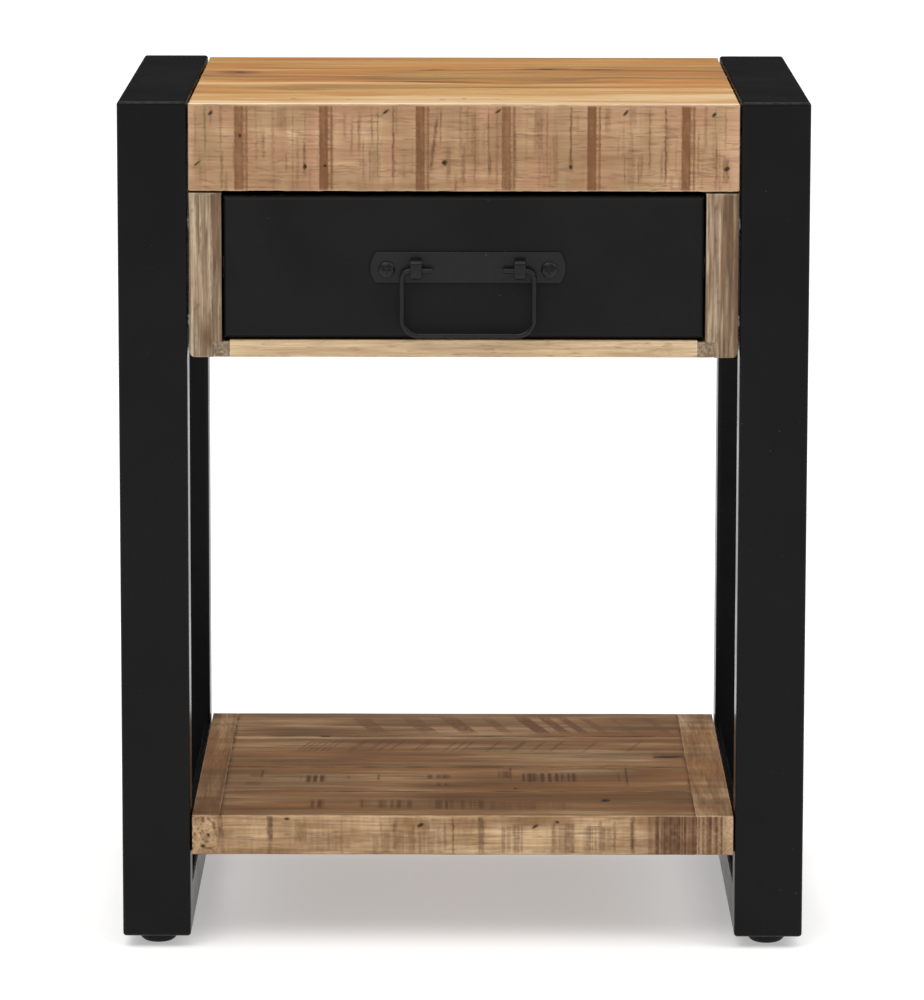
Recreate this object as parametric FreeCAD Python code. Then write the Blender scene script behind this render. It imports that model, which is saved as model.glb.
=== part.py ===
import FreeCAD, Part
import math
import os

V = FreeCAD.Vector

# Side table with one drawer. Millimetres, +Z up, +X to the right, -Y is the front.
# The origin is on the floor, under the middle of the whole table with its handle.

# ---- driving dimensions ---------------------------------------------------------------

# steel side frames
overall_width = 400.0        # over the two frames
overall_depth = 300.0        # over the steel, without the handle
overall_height = 500.0       # floor to the top of the steel
tube_width = 40.0            # tube, seen from the front
tube_thick = 25.0            # tube, in the plane of its frame
tube_wall = 1.5
tube_corner = 2.0            # rounding of the tube's edges
side_gap = 1.0               # between a frame and the wood
face_recess = 1.0            # wood behind the steel at front and back
top_recess = 1.0             # wooden top below the steel

# feet
foot_height = 7.0
foot_radius = 11.5
foot_sole_radius = 7.5
foot_rim = 1.4               # straight band at the foot's upper edge
foot_inset = 22.0            # centre of a foot from the end of its frame
stem_radius = 4.0
stem_length = 9.0
stem_clearance = 0.1

# wooden top
apron_height = 51.0
apron_thick = 20.0
top_thick = 20.0
top_round = 1.6              # rounding along the top's front and back edge
wood_ease = 1.0              # eased edges of the boards
plank_joints_top = (92.0, 175.0)      # from the front edge of the wood

# drawer case
case_height = 96.5           # below the aprons
case_side_thick = 19.0
case_bottom_thick = 10.0
case_back_thick = 10.0
case_seam = 1.0              # shadow gap between a side panel and the apron
case_corner_round = 3.0      # lower outer corner of the side panels
cleat_height = 9.0
cleat_in_panel = 5.0         # depth of the cleat's rebate in the side panel
cleat_in_opening = 4.5

# drawer
front_side_gap = 1.1
front_bottom_gap = 1.2
front_top_gap = 2.8
front_recess = 1.0           # steel face behind the wood
skin_thick = 1.5
skin_bend = 2.8              # outer radius of the folded edge
front_board_thick = 14.0
board_clearance = 0.2        # between the folded steel and the board in it
drawer_side_thick = 12.0
drawer_side_play = 1.5       # between drawer side and case side
drawer_bottom_gap = 2.3      # drawer side above the lower edge of the steel face
drawer_top_gap = 7.0         # drawer side below the upper edge of the steel face
drawer_back_thick = 12.0
ply_thick = 4.0
ply_height = 7.0             # underside of the bottom above the side's lower edge
ply_groove = 5.0
ply_clearance = 0.1
stop_thick = 8.0
stop_height = 22.0
stop_width = 24.0
stop_clearance = 0.3
runner_height = 12.0
runner_depth = 6.0           # how far a runner reaches into the groove of a side
runner_clearance = 0.5
runner_setback = 4.0         # runner's front end behind the front board

# shelf
shelf_top = 80.0             # top of the shelf above the floor
shelf_thick = 24.0
shelf_end_width = {"left": 16.0, "right": 22.0}      # cross-grain end boards
plank_joints_shelf = (66.0, 135.0, 227.0)
tongue_thick = 8.0
tongue_length = 8.0
tongue_clearance = 0.1
angle_leg = 25.0             # support angle
angle_thick = 3.0

# handle
handle_offset = 2.5          # to the right of the drawer's middle
handle_drop = 42.4           # line of the pivot and screws below the drawer's upper edge
plate_length = 113.0
plate_bulge = 3.2            # how far the curved ends stand out
plate_height = 18.0
plate_rise = 1.3             # middle of the plate above the line of the screws
plate_thick = 1.5
plate_ease = 0.5
post_spacing = 60.0
post_width = 6.6
post_height = 11.4
post_round = 2.8             # rounding of the post's front
post_ease = 0.4
post_wall = 1.5              # metal in front of the bail's hole
post_tail_radius = 1.6
pivot_standoff = 5.5         # pivot line in front of the plate
bail_wire = 3.0
bail_width = 76.5            # between the centre lines of the bail's legs
bail_drop = 37.8             # pivot line to the middle of the grip
bail_corner = 10.0
bail_shoulder = 4.5
bail_end = 6.5               # wire end past the inner face of its post
bail_play = 0.08
handle_screw_spacing = 94.0

# fasteners
fastener_play = 0.05
bolt_radius = 2.5
bolt_head_radius = 4.5
bolt_head_height = 3.0
bolt_sink = 4.0              # bolt heads lie this deep in the side panels
bolt_reach = 8.0             # past the inside of the tube wall
bolt_inset = 17.0            # from the front or back of the steel
bolt_edge = 20.0             # from the case bottom and from the apron
rivet_barrel_radius = 3.6
rivet_length = 10.0
wood_screw_radius = 1.8
wood_screw_head = 3.5
wood_screw_sink = 2.2
wood_screw_length = 14.0
shelf_screw_radius = 2.2
shelf_screw_head = 4.5
shelf_screw_head_height = 2.4
shelf_screw_length = 18.0
shelf_screw_inset = 50.0
handle_screw_radius = 2.0
handle_screw_head = 4.8
handle_screw_head_height = 2.6
handle_screw_length = 14.0
recess_width = 1.2           # cross recess in the handle screws
recess_span = 5.4
recess_depth = 1.5
dowel_radius = 3.0
dowel_length = 18.0
dowel_play = 0.05

# ---- places worked out from them ------------------------------------------------------

handle_reach = (plate_thick + pivot_standoff + bail_wire / 2 + bail_play + post_wall
                - front_recess - face_recess)
steel_front = -(overall_depth - handle_reach) / 2
steel_back = steel_front + overall_depth
steel_inner = overall_width / 2 - tube_width
wood_front = steel_front + face_recess
wood_back = steel_back - face_recess
wood_half = steel_inner - side_gap

top_z = overall_height - top_recess
plank_under = top_z - top_thick
apron_under = top_z - apron_height
case_under = apron_under - case_height
case_floor = case_under + case_bottom_thick
case_inner = wood_half - case_side_thick
case_back_face = wood_back - case_back_thick

front_low = case_floor + front_bottom_gap
front_high = apron_under - front_top_gap
front_half = case_inner - front_side_gap
skin_face = wood_front + front_recess
board_back = skin_face + skin_thick + front_board_thick
drawer_back_face = case_back_face - stop_thick - stop_clearance
drawer_outer = case_inner - drawer_side_play
drawer_inner = drawer_outer - drawer_side_thick
drawer_low = front_low + drawer_bottom_gap
drawer_high = front_high - drawer_top_gap
ply_low = drawer_low + ply_height
ply_high = ply_low + ply_thick
runner_middle = (drawer_low + drawer_high) / 2
runner_inner = case_inner - drawer_side_play - runner_depth

shelf_under = shelf_top - shelf_thick
shelf_middle = (shelf_top + shelf_under) / 2

pivot_z = front_high - handle_drop
plate_middle = pivot_z + plate_rise
plate_face = skin_face - plate_thick
pivot_y = plate_face - pivot_standoff
plate_half = plate_length / 2

parts = {}


# ---- helpers --------------------------------------------------------------------------

def box(x0, x1, y0, y1, z0, z1):
    """A block between two corners, given in either order along X."""
    low, high = min(x0, x1), max(x0, x1)
    return Part.makeBox(high - low, y1 - y0, z1 - z0, V(low, y0, z0))


def prism(outline, x0, x1):
    """A solid of the (y, z) outline between x0 and x1."""
    points = [V(x0, y, z) for y, z in outline]
    return Part.Face(Part.makePolygon(points + points[:1])).extrude(V(x1 - x0, 0, 0))


def rod(radius, start, direction, length):
    return Part.makeCylinder(radius, length, start, direction)


def eased(shape, radius, wanted):
    """Round every edge for which wanted(lowest corner, highest corner) is true."""
    edges = [e for e in shape.Edges
             if wanted(V(e.BoundBox.XMin, e.BoundBox.YMin, e.BoundBox.ZMin),
                       V(e.BoundBox.XMax, e.BoundBox.YMax, e.BoundBox.ZMax))]
    return shape.makeFillet(radius, edges)


def near(a, b):
    return abs(a - b) < 1e-4


def turned(outline, at, direction):
    """Revolve an (r, z) outline and lay its axis along direction from at."""
    points = [V(r, 0, z) for r, z in outline]
    face = Part.Face(Part.makePolygon(points + points[:1]))
    solid = face.revolve(V(0, 0, 0), V(0, 0, 1), 360)
    solid.Placement = FreeCAD.Placement(at, FreeCAD.Rotation(V(0, 0, 1), direction))
    return solid


def along_x(side):
    return V(side, 0, 0)


def group(solids):
    return Part.makeCompound(solids)


def cut_all(shape, tools):
    return shape.cut(tools) if tools else shape


# ---- steel side frames ----------------------------------------------------------------

def frame_loop(side, holes):
    """One closed frame of hollow tube, before it is divided at its mitres."""
    x0, x1 = side * steel_inner, side * overall_width / 2
    low, high = min(x0, x1), max(x0, x1)
    outer = box(low, high, steel_front, steel_back, foot_height, overall_height)
    outer = outer.makeFillet(tube_corner, outer.Edges)
    window = box(low, high, steel_front + tube_thick, steel_back - tube_thick,
                 foot_height + tube_thick, overall_height - tube_thick)
    loop = outer.cut(window)
    window_y = (steel_front + tube_thick, steel_back - tube_thick)
    window_z = (foot_height + tube_thick, overall_height - tube_thick)

    def rim(a, b):
        flat = near(a.x, b.x) and (near(a.x, low) or near(a.x, high))
        along_z = any(near(a.y, y) and near(b.y, y) for y in window_y)
        along_y = any(near(a.z, z) and near(b.z, z) for z in window_z)
        return flat and (along_z or along_y)

    loop = eased(loop, tube_corner, rim)
    hollow = box(low + tube_wall, high - tube_wall, steel_front + tube_wall,
                 steel_back - tube_wall, foot_height + tube_wall, overall_height - tube_wall)
    core = box(low, high, window_y[0] - tube_wall, window_y[1] + tube_wall,
               window_z[0] - tube_wall, window_z[1] + tube_wall)
    return cut_all(loop.cut(hollow.cut(core)), holes)


def mitred_tubes(side_name, loop, side):
    """Divide a frame at its 45 degree mitres into two legs and two rails."""
    f, b, lo, hi, t = steel_front, steel_back, foot_height, overall_height, tube_thick
    outlines = {
        "front_leg": [(f, lo), (f, hi), (f + t, hi - t), (f + t, lo + t)],
        "back_leg": [(b, lo), (b - t, lo + t), (b - t, hi - t), (b, hi)],
        "top_rail": [(f, hi), (b, hi), (b - t, hi - t), (f + t, hi - t)],
        "bottom_rail": [(f, lo), (f + t, lo + t), (b - t, lo + t), (b, lo)],
    }
    x0, x1 = side * steel_inner, side * overall_width / 2
    for piece, outline in outlines.items():
        parts[side_name + "_" + piece] = loop.common(prism(outline, x0, x1))


def foot_places(side):
    x = side * (overall_width - tube_width) / 2
    return {"front": V(x, steel_front + foot_inset, 0), "back": V(x, steel_back - foot_inset, 0)}


def foot(at):
    """A bowl-shaped glide with a plain stem that is pressed into the rail."""
    rim_z = foot_height - foot_rim
    bulge = V(foot_sole_radius + 0.8 * (foot_radius - foot_sole_radius), 0, 0.45 * rim_z)
    side_arc = Part.Arc(V(foot_sole_radius, 0, 0), bulge, V(foot_radius, 0, rim_z)).toShape()
    points = [V(foot_radius, 0, rim_z), V(foot_radius, 0, foot_height),
              V(stem_radius, 0, foot_height), V(stem_radius, 0, foot_height + stem_length),
              V(0, 0, foot_height + stem_length), V(0, 0, 0), V(foot_sole_radius, 0, 0)]
    lines = [Part.makeLine(a, b) for a, b in zip(points, points[1:])]
    profile = Part.Face(Part.Wire([side_arc] + lines))
    glide = profile.revolve(V(0, 0, 0), V(0, 0, 1), 360)
    glide.translate(at)
    return glide


def case_bolt_places(side):
    """Where the case bolts cross the inner face of a frame."""
    return [V(side * steel_inner, y, z)
            for y in (steel_front + bolt_inset, steel_back - bolt_inset)
            for z in (case_under + bolt_edge, apron_under - bolt_edge)]


def shelf_angle(side):
    """An angle welded between the legs; the shelf lies on its flat flange."""
    outer = side * (steel_inner + angle_thick)
    y0, y1 = steel_front + tube_thick, steel_back - tube_thick
    low = shelf_under - angle_thick
    upright = box(outer, side * steel_inner, y0, y1, low, low + angle_leg)
    flat = box(outer, outer - side * angle_leg, y0, y1, low, shelf_under)
    return upright.fuse(flat).removeSplitter().cut(
        [shelf_screw_hole(at) for at in shelf_screw_places(side)])


# ---- fasteners ------------------------------------------------------------------------

def pan_screw(at, direction, radius, head_radius, head_height, length):
    """Domed head on the near side of the point at, shank along direction."""
    steps = 5
    dome = [(head_radius * math.cos(math.pi / 2 * i / steps),
             -head_height * (0.35 + 0.65 * math.sin(math.pi / 2 * i / steps)))
            for i in range(steps + 1)]
    shank = [(0, length), (radius, length - radius), (radius, 0), (head_radius, 0)]
    return turned(shank + dome[:-1] + [(0, -head_height)], at, direction)


def flat_screw(at, direction, radius, head_radius, sink, length):
    """Countersunk screw whose head lies flush with the point at."""
    outline = [(0, 0), (head_radius, 0), (radius, sink), (radius, length - radius), (0, length)]
    return turned(outline, at, direction)


def flat_screw_hole(at, direction, radius, head_radius, sink, length):
    play = fastener_play
    outline = [(0, 0), (head_radius + play, 0), (radius + play, sink), (radius + play, length),
               (0, length + play)]
    return turned(outline, at, direction)


def case_bolt(side, at):
    head_seat = V(side * (case_inner + bolt_sink), at.y, at.z)
    length = steel_inner + tube_wall + bolt_reach - case_inner - bolt_sink
    return pan_screw(head_seat, along_x(side), bolt_radius, bolt_head_radius,
                     bolt_head_height, length)


def case_bolt_hole(side, at):
    """Counterbore and clearance hole through a side panel."""
    start = V(side * case_inner, at.y, at.z)
    bore = rod(bolt_radius + fastener_play, start, along_x(side), case_side_thick)
    pocket = rod(bolt_head_radius + fastener_play, start, along_x(side), bolt_sink)
    return bore.fuse(pocket)


def rivet_nut(side, at):
    """Threaded insert set in the tube wall; its flange spaces the wood off the steel."""
    flange_radius = rivet_barrel_radius + 1.4
    flange = rod(flange_radius, V(side * wood_half, at.y, at.z), along_x(side), side_gap)
    barrel = rod(rivet_barrel_radius, at, along_x(side), rivet_length)
    bore = rod(bolt_radius + fastener_play, V(side * wood_half, at.y, at.z), along_x(side),
               side_gap + rivet_length)
    return flange.fuse(barrel).cut(bore).removeSplitter()


def rivet_hole(side, at):
    return rod(rivet_barrel_radius + fastener_play, at, along_x(side), tube_wall)


def shelf_screw_places(side):
    x = side * (wood_half - angle_leg / 2)
    low = shelf_under - angle_thick
    return [V(x, steel_front + shelf_screw_inset, low), V(x, steel_back - shelf_screw_inset, low)]


def shelf_screw(at):
    return pan_screw(at, V(0, 0, 1), shelf_screw_radius, shelf_screw_head,
                     shelf_screw_head_height, shelf_screw_length)


def shelf_screw_hole(at):
    return rod(shelf_screw_radius + fastener_play, at, V(0, 0, 1), shelf_screw_length)


# ---- wooden top -----------------------------------------------------------------------

def top_pieces():
    """Planks and aprons as one moulded section, divided at their joints and mitres."""
    slab = box(-wood_half, wood_half, wood_front, wood_back, apron_under, top_z)
    below = box(-wood_half, wood_half, wood_front + apron_thick, wood_back - apron_thick,
                apron_under, plank_under)
    shell = slab.cut(below)

    def upper_edge(a, b):
        return near(a.z, top_z) and near(b.z, top_z) and near(a.y, b.y)

    def lower_edge(a, b):
        outside = near(a.y, wood_front) or near(a.y, wood_back)
        return near(a.z, apron_under) and near(b.z, apron_under) and near(a.y, b.y) and outside

    shell = eased(eased(shell, top_round, upper_edge), wood_ease, lower_edge)
    f, b, t, a = wood_front, wood_back, top_z, apron_thick
    low, under = apron_under, plank_under
    joint_1, joint_2 = (wood_front + d for d in plank_joints_top)
    outlines = {
        "front_apron": [(f, low), (f, t), (f + a, under), (f + a, low)],
        "back_apron": [(b, low), (b - a, low), (b - a, under), (b, t)],
        "top_plank_front": [(f, t), (joint_1, t), (joint_1, under), (f + a, under)],
        "top_plank_middle": [(joint_1, t), (joint_2, t), (joint_2, under), (joint_1, under)],
        "top_plank_back": [(joint_2, t), (b, t), (b - a, under), (joint_2, under)],
    }
    for name, outline in outlines.items():
        parts[name] = shell.common(prism(outline, -wood_half, wood_half))


# ---- drawer case ----------------------------------------------------------------------

def case_side(side):
    """Side panel: notched up behind both aprons, with a rebate for the corner cleat."""
    low, shoulder = case_under, apron_under - case_seam
    outline = [(wood_front, low), (wood_back, low), (wood_back, shoulder),
               (wood_back - apron_thick, shoulder), (wood_back - apron_thick, plank_under),
               (wood_front + apron_thick, plank_under), (wood_front + apron_thick, shoulder),
               (wood_front, shoulder)]
    inner, outer = side * case_inner, side * wood_half
    panel = prism(outline, inner, outer)

    def lower_outer(a, b):
        return near(a.x, outer) and near(b.x, outer) and near(a.z, low) and near(b.z, low)

    def upright(a, b):
        ends = near(a.y, wood_front) or near(a.y, wood_back)
        return ends and near(a.y, b.y) and near(a.x, b.x) and near(b.z, shoulder)

    panel = eased(panel, wood_ease, upright)
    panel = eased(panel, case_corner_round - wood_ease, lower_outer)
    rebate = box(inner, side * (case_inner + cleat_in_panel), wood_front, wood_back,
                 low, low + cleat_height)
    holes = [case_bolt_hole(side, at) for at in case_bolt_places(side)]
    holes += [runner_screw_hole(side, at) for at in runner_screw_places(side)]
    return panel.cut([rebate] + holes)


def corner_cleat(side):
    return box(side * (case_inner - cleat_in_opening), side * (case_inner + cleat_in_panel),
               wood_front, wood_back, case_under, case_under + cleat_height)


def case_bottom():
    half = case_inner - cleat_in_opening
    board = box(-half, half, wood_front, wood_back, case_under, case_floor)

    def long_edge(a, b):
        return near(a.y, b.y) and near(a.z, b.z) and near(a.y, wood_front)

    return eased(board, wood_ease, long_edge)


def runner(side):
    """Hardwood strip that the groove of a drawer side rides on."""
    strip = box(side * runner_inner, side * case_inner, board_back + runner_setback,
                case_back_face, runner_middle - runner_height / 2,
                runner_middle + runner_height / 2)
    return strip.cut([runner_screw_hole(side, at) for at in runner_screw_places(side)])


def runner_screw_places(side):
    first = board_back + runner_setback + 3 * bolt_head_radius
    last = case_back_face - 3 * bolt_head_radius
    return [V(side * runner_inner, first + (last - first) * i / 2, runner_middle)
            for i in range(3)]


def runner_screw_size():
    return wood_screw_radius, wood_screw_head, wood_screw_sink, wood_screw_length


def runner_screw_hole(side, at):
    return flat_screw_hole(at, along_x(side), *runner_screw_size())


def drawer_stop(side):
    """Block on the case back that meets the drawer when it is shut."""
    x = side * (drawer_inner / 2)
    z = (ply_high + drawer_high) / 2
    return box(x - stop_width / 2, x + stop_width / 2, case_back_face - stop_thick,
               case_back_face, z - stop_height / 2, z + stop_height / 2)


# ---- shelf ----------------------------------------------------------------------------

def shelf_pieces():
    """Planks with tongues at both ends, held in grooved cross-grain end boards."""
    holes = [shelf_screw_hole(at) for side in (-1, 1) for at in shelf_screw_places(side)]
    board = box(-wood_half, wood_half, wood_front, wood_back, shelf_under, shelf_top)

    def outside(a, b):
        along = near(a.y, b.y) and (near(a.y, wood_front) or near(a.y, wood_back))
        across = near(a.x, b.x) and (near(a.x, wood_half) or near(a.x, -wood_half))
        return along or across

    board = eased(board, wood_ease, outside)
    tongue_low = shelf_middle - tongue_thick / 2
    tongue_high = shelf_middle + tongue_thick / 2
    left = -wood_half + shelf_end_width["left"]
    right = wood_half - shelf_end_width["right"]
    joints = [wood_front] + [wood_front + d for d in plank_joints_shelf] + [wood_back]
    for number, (y0, y1) in enumerate(zip(joints, joints[1:]), 1):
        plank = board.common(box(left, right, y0, y1, shelf_under, shelf_top))
        first = y0 + tongue_length if number == 1 else y0
        last = y1 - tongue_length if number == len(joints) - 1 else y1
        tongue = box(left - tongue_length, right + tongue_length, first, last,
                     tongue_low, tongue_high)
        parts["shelf_plank_%d" % number] = plank.fuse(tongue).removeSplitter().cut(holes)
    play = tongue_clearance
    for side, name, joint in ((-1, "left", left), (1, "right", right)):
        end = board.common(box(joint, side * wood_half, wood_front, wood_back,
                               shelf_under, shelf_top))
        groove = box(joint, joint + side * (tongue_length + play),
                     wood_front + tongue_length - play, wood_back - tongue_length + play,
                     tongue_low - play, tongue_high + play)
        parts[name + "_shelf_end"] = end.cut([groove] + holes)


# ---- drawer ---------------------------------------------------------------------------

def drawer_face():
    """Sheet-steel tray: flat face with folded edges all round."""
    def tray(grow, depth, start, radius):
        solid = box(-front_half + grow, front_half - grow, start, skin_face + depth,
                    front_low + grow, front_high - grow)
        return eased(solid, radius, lambda a, b: near(a.y, start) and near(b.y, start))

    depth = board_back - skin_face
    outer = tray(0, depth, skin_face, skin_bend)
    inner = tray(skin_thick, depth, skin_face + skin_thick, skin_bend - skin_thick)
    return outer.cut(inner).cut(handle_holes())


def front_board():
    inset = skin_thick + board_clearance
    board = box(-front_half + inset, front_half - inset, skin_face + skin_thick, board_back,
                front_low + inset, front_high - inset)
    corner = skin_bend - skin_thick + board_clearance
    board = eased(board, corner, lambda a, b: near(a.y, skin_face + skin_thick)
                  and near(b.y, skin_face + skin_thick))
    groove = box(-drawer_inner - ply_groove, drawer_inner + ply_groove,
                 board_back - ply_groove, board_back, ply_low - ply_clearance,
                 ply_high + ply_clearance)
    dowels = [dowel_hole(at) for side in (-1, 1) for at in dowel_places(side)]
    return board.cut([groove] + dowels + handle_holes())


def drawer_side(side):
    """Grooved outside for the runner and inside for the plywood bottom."""
    panel = box(side * drawer_inner, side * drawer_outer, board_back, drawer_back_face,
                drawer_low, drawer_high)
    half = runner_height / 2 + runner_clearance
    runner_groove = box(side * (runner_inner - runner_clearance), side * drawer_outer, board_back,
                        drawer_back_face, runner_middle - half, runner_middle + half)
    ply_slot = box(side * drawer_inner, side * (drawer_inner + ply_groove), board_back,
                   drawer_back_face, ply_low - ply_clearance, ply_high + ply_clearance)
    holes = [dowel_hole(at) for at in dowel_places(side)]
    holes += [corner_screw_hole(side, at) for at in corner_screw_places(side)]
    return panel.cut([runner_groove, ply_slot] + holes)


def drawer_back():
    """Stands on the plywood bottom, between the sides."""
    board = box(-drawer_inner, drawer_inner, drawer_back_face - drawer_back_thick,
                drawer_back_face, ply_high + ply_clearance, drawer_high)
    holes = [corner_screw_hole(side, at) for side in (-1, 1) for at in corner_screw_places(side)]
    return board.cut(holes)


def drawer_bottom():
    half = drawer_inner + ply_groove - ply_clearance
    return box(-half, half, board_back - ply_groove + ply_clearance, drawer_back_face,
               ply_low, ply_high)


def dowel_places(side):
    """Rear ends of the dowels' line through a side and the front board."""
    x = side * (drawer_inner + dowel_radius + 1.5)
    groove = runner_height / 2 + runner_clearance
    low = (ply_high + runner_middle - groove) / 2
    high = (drawer_high + runner_middle + groove) / 2
    return [V(x, board_back - dowel_length / 2, z) for z in (low, high)]


def dowel(at):
    return rod(dowel_radius, at, V(0, 1, 0), dowel_length)


def dowel_hole(at):
    start = V(at.x, at.y - dowel_play, at.z)
    return rod(dowel_radius + dowel_play, start, V(0, 1, 0), dowel_length + 2 * dowel_play)


def corner_screw_places(side):
    y = drawer_back_face - drawer_back_thick / 2
    groove = runner_height / 2 + runner_clearance
    low = (ply_high + runner_middle - groove) / 2
    high = (drawer_high + runner_middle + groove) / 2
    return [V(side * drawer_outer, y, z) for z in (low, high)]


def corner_screw_size():
    return wood_screw_radius, wood_screw_head, wood_screw_sink, 2 * drawer_side_thick


def corner_screw_hole(side, at):
    return flat_screw_hole(at, along_x(-side), *corner_screw_size())


# ---- handle ---------------------------------------------------------------------------

def post_places():
    return [V(handle_offset + side * post_spacing / 2, plate_face, pivot_z) for side in (-1, 1)]


def handle_screw_places():
    x = handle_screw_spacing / 2
    return [V(handle_offset + side * x, plate_face, pivot_z) for side in (-1, 1)]


def handle_holes():
    """Holes for the screws and the post tails, through plate, face and board."""
    into = V(0, 1, 0)
    tails = [rod(post_tail_radius + fastener_play, at, into, post_tail_length() + fastener_play)
             for at in post_places()]
    screws = [rod(handle_screw_radius + fastener_play, at, into, handle_screw_length)
              for at in handle_screw_places()]
    return tails + screws


def post_tail_length():
    return plate_thick + skin_thick + 1.5


def handle_plate():
    """Flat plate with outward-curved ends."""
    straight = plate_half - plate_bulge
    low, high = plate_middle - plate_height / 2, plate_middle + plate_height / 2
    x = handle_offset

    def end(side):
        first, last = V(x + side * straight, skin_face, high), V(x + side * straight, skin_face, low)
        return Part.Arc(first, V(x + side * plate_half, skin_face, plate_middle), last).toShape()

    top = Part.makeLine(V(x - straight, skin_face, high), V(x + straight, skin_face, high))
    bottom = Part.makeLine(V(x - straight, skin_face, low), V(x + straight, skin_face, low))
    outline = Part.Wire(Part.__sortEdges__([top, end(1), bottom, end(-1)]))
    plate = Part.Face(outline).extrude(V(0, -plate_thick, 0))
    plate = eased(plate, plate_ease, lambda a, b: near(a.y, plate_face) and near(b.y, plate_face))
    return plate.cut(handle_holes())


def post(at):
    """Round-fronted block bored for the bail, with a riveted tail through the plate."""
    bore = bail_wire / 2 + bail_play
    front = pivot_y - bore - post_wall
    x0, x1 = at.x - post_width / 2, at.x + post_width / 2
    middle = (pivot_z + plate_middle) / 2
    body = box(x0, x1, front, plate_face, middle - post_height / 2, middle + post_height / 2)
    body = eased(body, post_round, lambda a, b: near(a.y, front) and near(b.y, front)
                 and near(a.z, b.z))
    body = eased(body, post_ease, lambda a, b: near(a.x, b.x) and b.y < plate_face + 0.01
                 and not near(a.y, plate_face))
    hole = rod(bore, V(x0, pivot_y, pivot_z), V(1, 0, 0), post_width)
    tail = rod(post_tail_radius, at, V(0, 1, 0), post_tail_length())
    return body.cut(hole).fuse(tail).removeSplitter()


def handle_screw(at):
    screw = pan_screw(at, V(0, 1, 0), handle_screw_radius, handle_screw_head,
                      handle_screw_head_height, handle_screw_length)
    y0 = at.y - handle_screw_head_height
    arm, half = recess_span / 2, recess_width / 2
    cross = [box(at.x - arm, at.x + arm, y0, y0 + recess_depth, at.z - half, at.z + half),
             box(at.x - half, at.x + half, y0, y0 + recess_depth, at.z - arm, at.z + arm)]
    return screw.cut(cross)


def rounded_path(points, radii):
    """Straight runs joined by tangent arcs; radii belong to the inner points."""
    edges, start = [], points[0]
    for before, corner, after, radius in zip(points, points[1:], points[2:], radii):
        back = (before - corner).normalize()
        ahead = (after - corner).normalize()
        half_angle = back.getAngle(ahead) / 2
        reach = radius / math.tan(half_angle)
        first, last = corner + back * reach, corner + ahead * reach
        middle_way = (back + ahead).normalize()
        middle = corner + middle_way * (radius / math.sin(half_angle) - radius)
        edges.append(Part.makeLine(start, first))
        edges.append(Part.Arc(first, middle, last).toShape())
        start = last
    edges.append(Part.makeLine(start, points[-1]))
    return Part.Wire(edges)


def bail():
    """Bent wire: in through each post, over a shoulder, down and across."""
    leg = bail_width / 2
    tip = post_spacing / 2 - post_width / 2 - bail_end
    low = pivot_z - bail_drop
    places = [(-tip, pivot_z), (-leg, pivot_z), (-leg, low), (leg, low), (leg, pivot_z),
              (tip, pivot_z)]
    points = [V(handle_offset + x, pivot_y, z) for x, z in places]
    path = rounded_path(points, [bail_shoulder, bail_corner, bail_corner, bail_shoulder])
    ring = Part.Wire(Part.makeCircle(bail_wire / 2, points[0], V(1, 0, 0)))
    wire = path.makePipeShell([ring], True, False)

    def wire_end(a, b):
        return near(a.x, b.x) and (near(a.x, points[0].x) or near(a.x, points[-1].x))

    return eased(wire, bail_wire / 5, wire_end)


# ---- make every piece -----------------------------------------------------------------

bolts, rivets, runner_screws, shelf_screws, dowels, corner_screws = [], [], [], [], [], []
for side, name in ((-1, "left"), (1, "right")):
    bolt_places = case_bolt_places(side)
    feet = foot_places(side)
    holes = [rivet_hole(side, at) for at in bolt_places]
    holes += [rod(stem_radius + stem_clearance, at + V(0, 0, foot_height), V(0, 0, 1), tube_wall)
              for at in feet.values()]
    mitred_tubes(name, frame_loop(side, holes), side)
    for end, at in feet.items():
        parts["%s_%s_foot" % (name, end)] = foot(at)
    parts[name + "_shelf_angle"] = shelf_angle(side)
    parts[name + "_case_side"] = case_side(side)
    parts[name + "_corner_cleat"] = corner_cleat(side)
    parts[name + "_runner"] = runner(side)
    parts[name + "_drawer_stop"] = drawer_stop(side)
    parts[name + "_drawer_side"] = drawer_side(side)
    bolts += [case_bolt(side, at) for at in bolt_places]
    rivets += [rivet_nut(side, at) for at in bolt_places]
    runner_screws += [flat_screw(at, along_x(side), *runner_screw_size())
                      for at in runner_screw_places(side)]
    shelf_screws += [shelf_screw(at) for at in shelf_screw_places(side)]
    dowels += [dowel(at) for at in dowel_places(side)]
    corner_screws += [flat_screw(at, along_x(-side), *corner_screw_size())
                      for at in corner_screw_places(side)]

top_pieces()
shelf_pieces()
parts["case_bottom"] = case_bottom()
parts["case_back"] = box(-case_inner, case_inner, case_back_face, wood_back, case_floor,
                         apron_under)
parts["case_bolts"] = group(bolts)
parts["rivet_nuts"] = group(rivets)
parts["runner_screws"] = group(runner_screws)
parts["shelf_screws"] = group(shelf_screws)
parts["drawer_face"] = drawer_face()
parts["drawer_front_board"] = front_board()
parts["drawer_back"] = drawer_back()
parts["drawer_bottom"] = drawer_bottom()
parts["drawer_dowels"] = group(dowels)
parts["drawer_corner_screws"] = group(corner_screws)
parts["handle_plate"] = handle_plate()
for post_name, place in zip(("left_handle_post", "right_handle_post"), post_places()):
    parts[post_name] = post(place)
parts["handle_screws"] = group([handle_screw(at) for at in handle_screw_places()])
parts["bail"] = bail()

os.makedirs("parts", exist_ok=True)
for node, shape in parts.items():
    shape.exportStep("parts/%s.step" % node)
    print("%-22s solids %d  valid %s  volume %.1f"
          % (node, len(shape.Solids), shape.isValid(), shape.Volume))
print("steel front %.2f  back %.2f  pivot y %.2f z %.2f"
      % (steel_front, steel_back, pivot_y, pivot_z))
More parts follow.
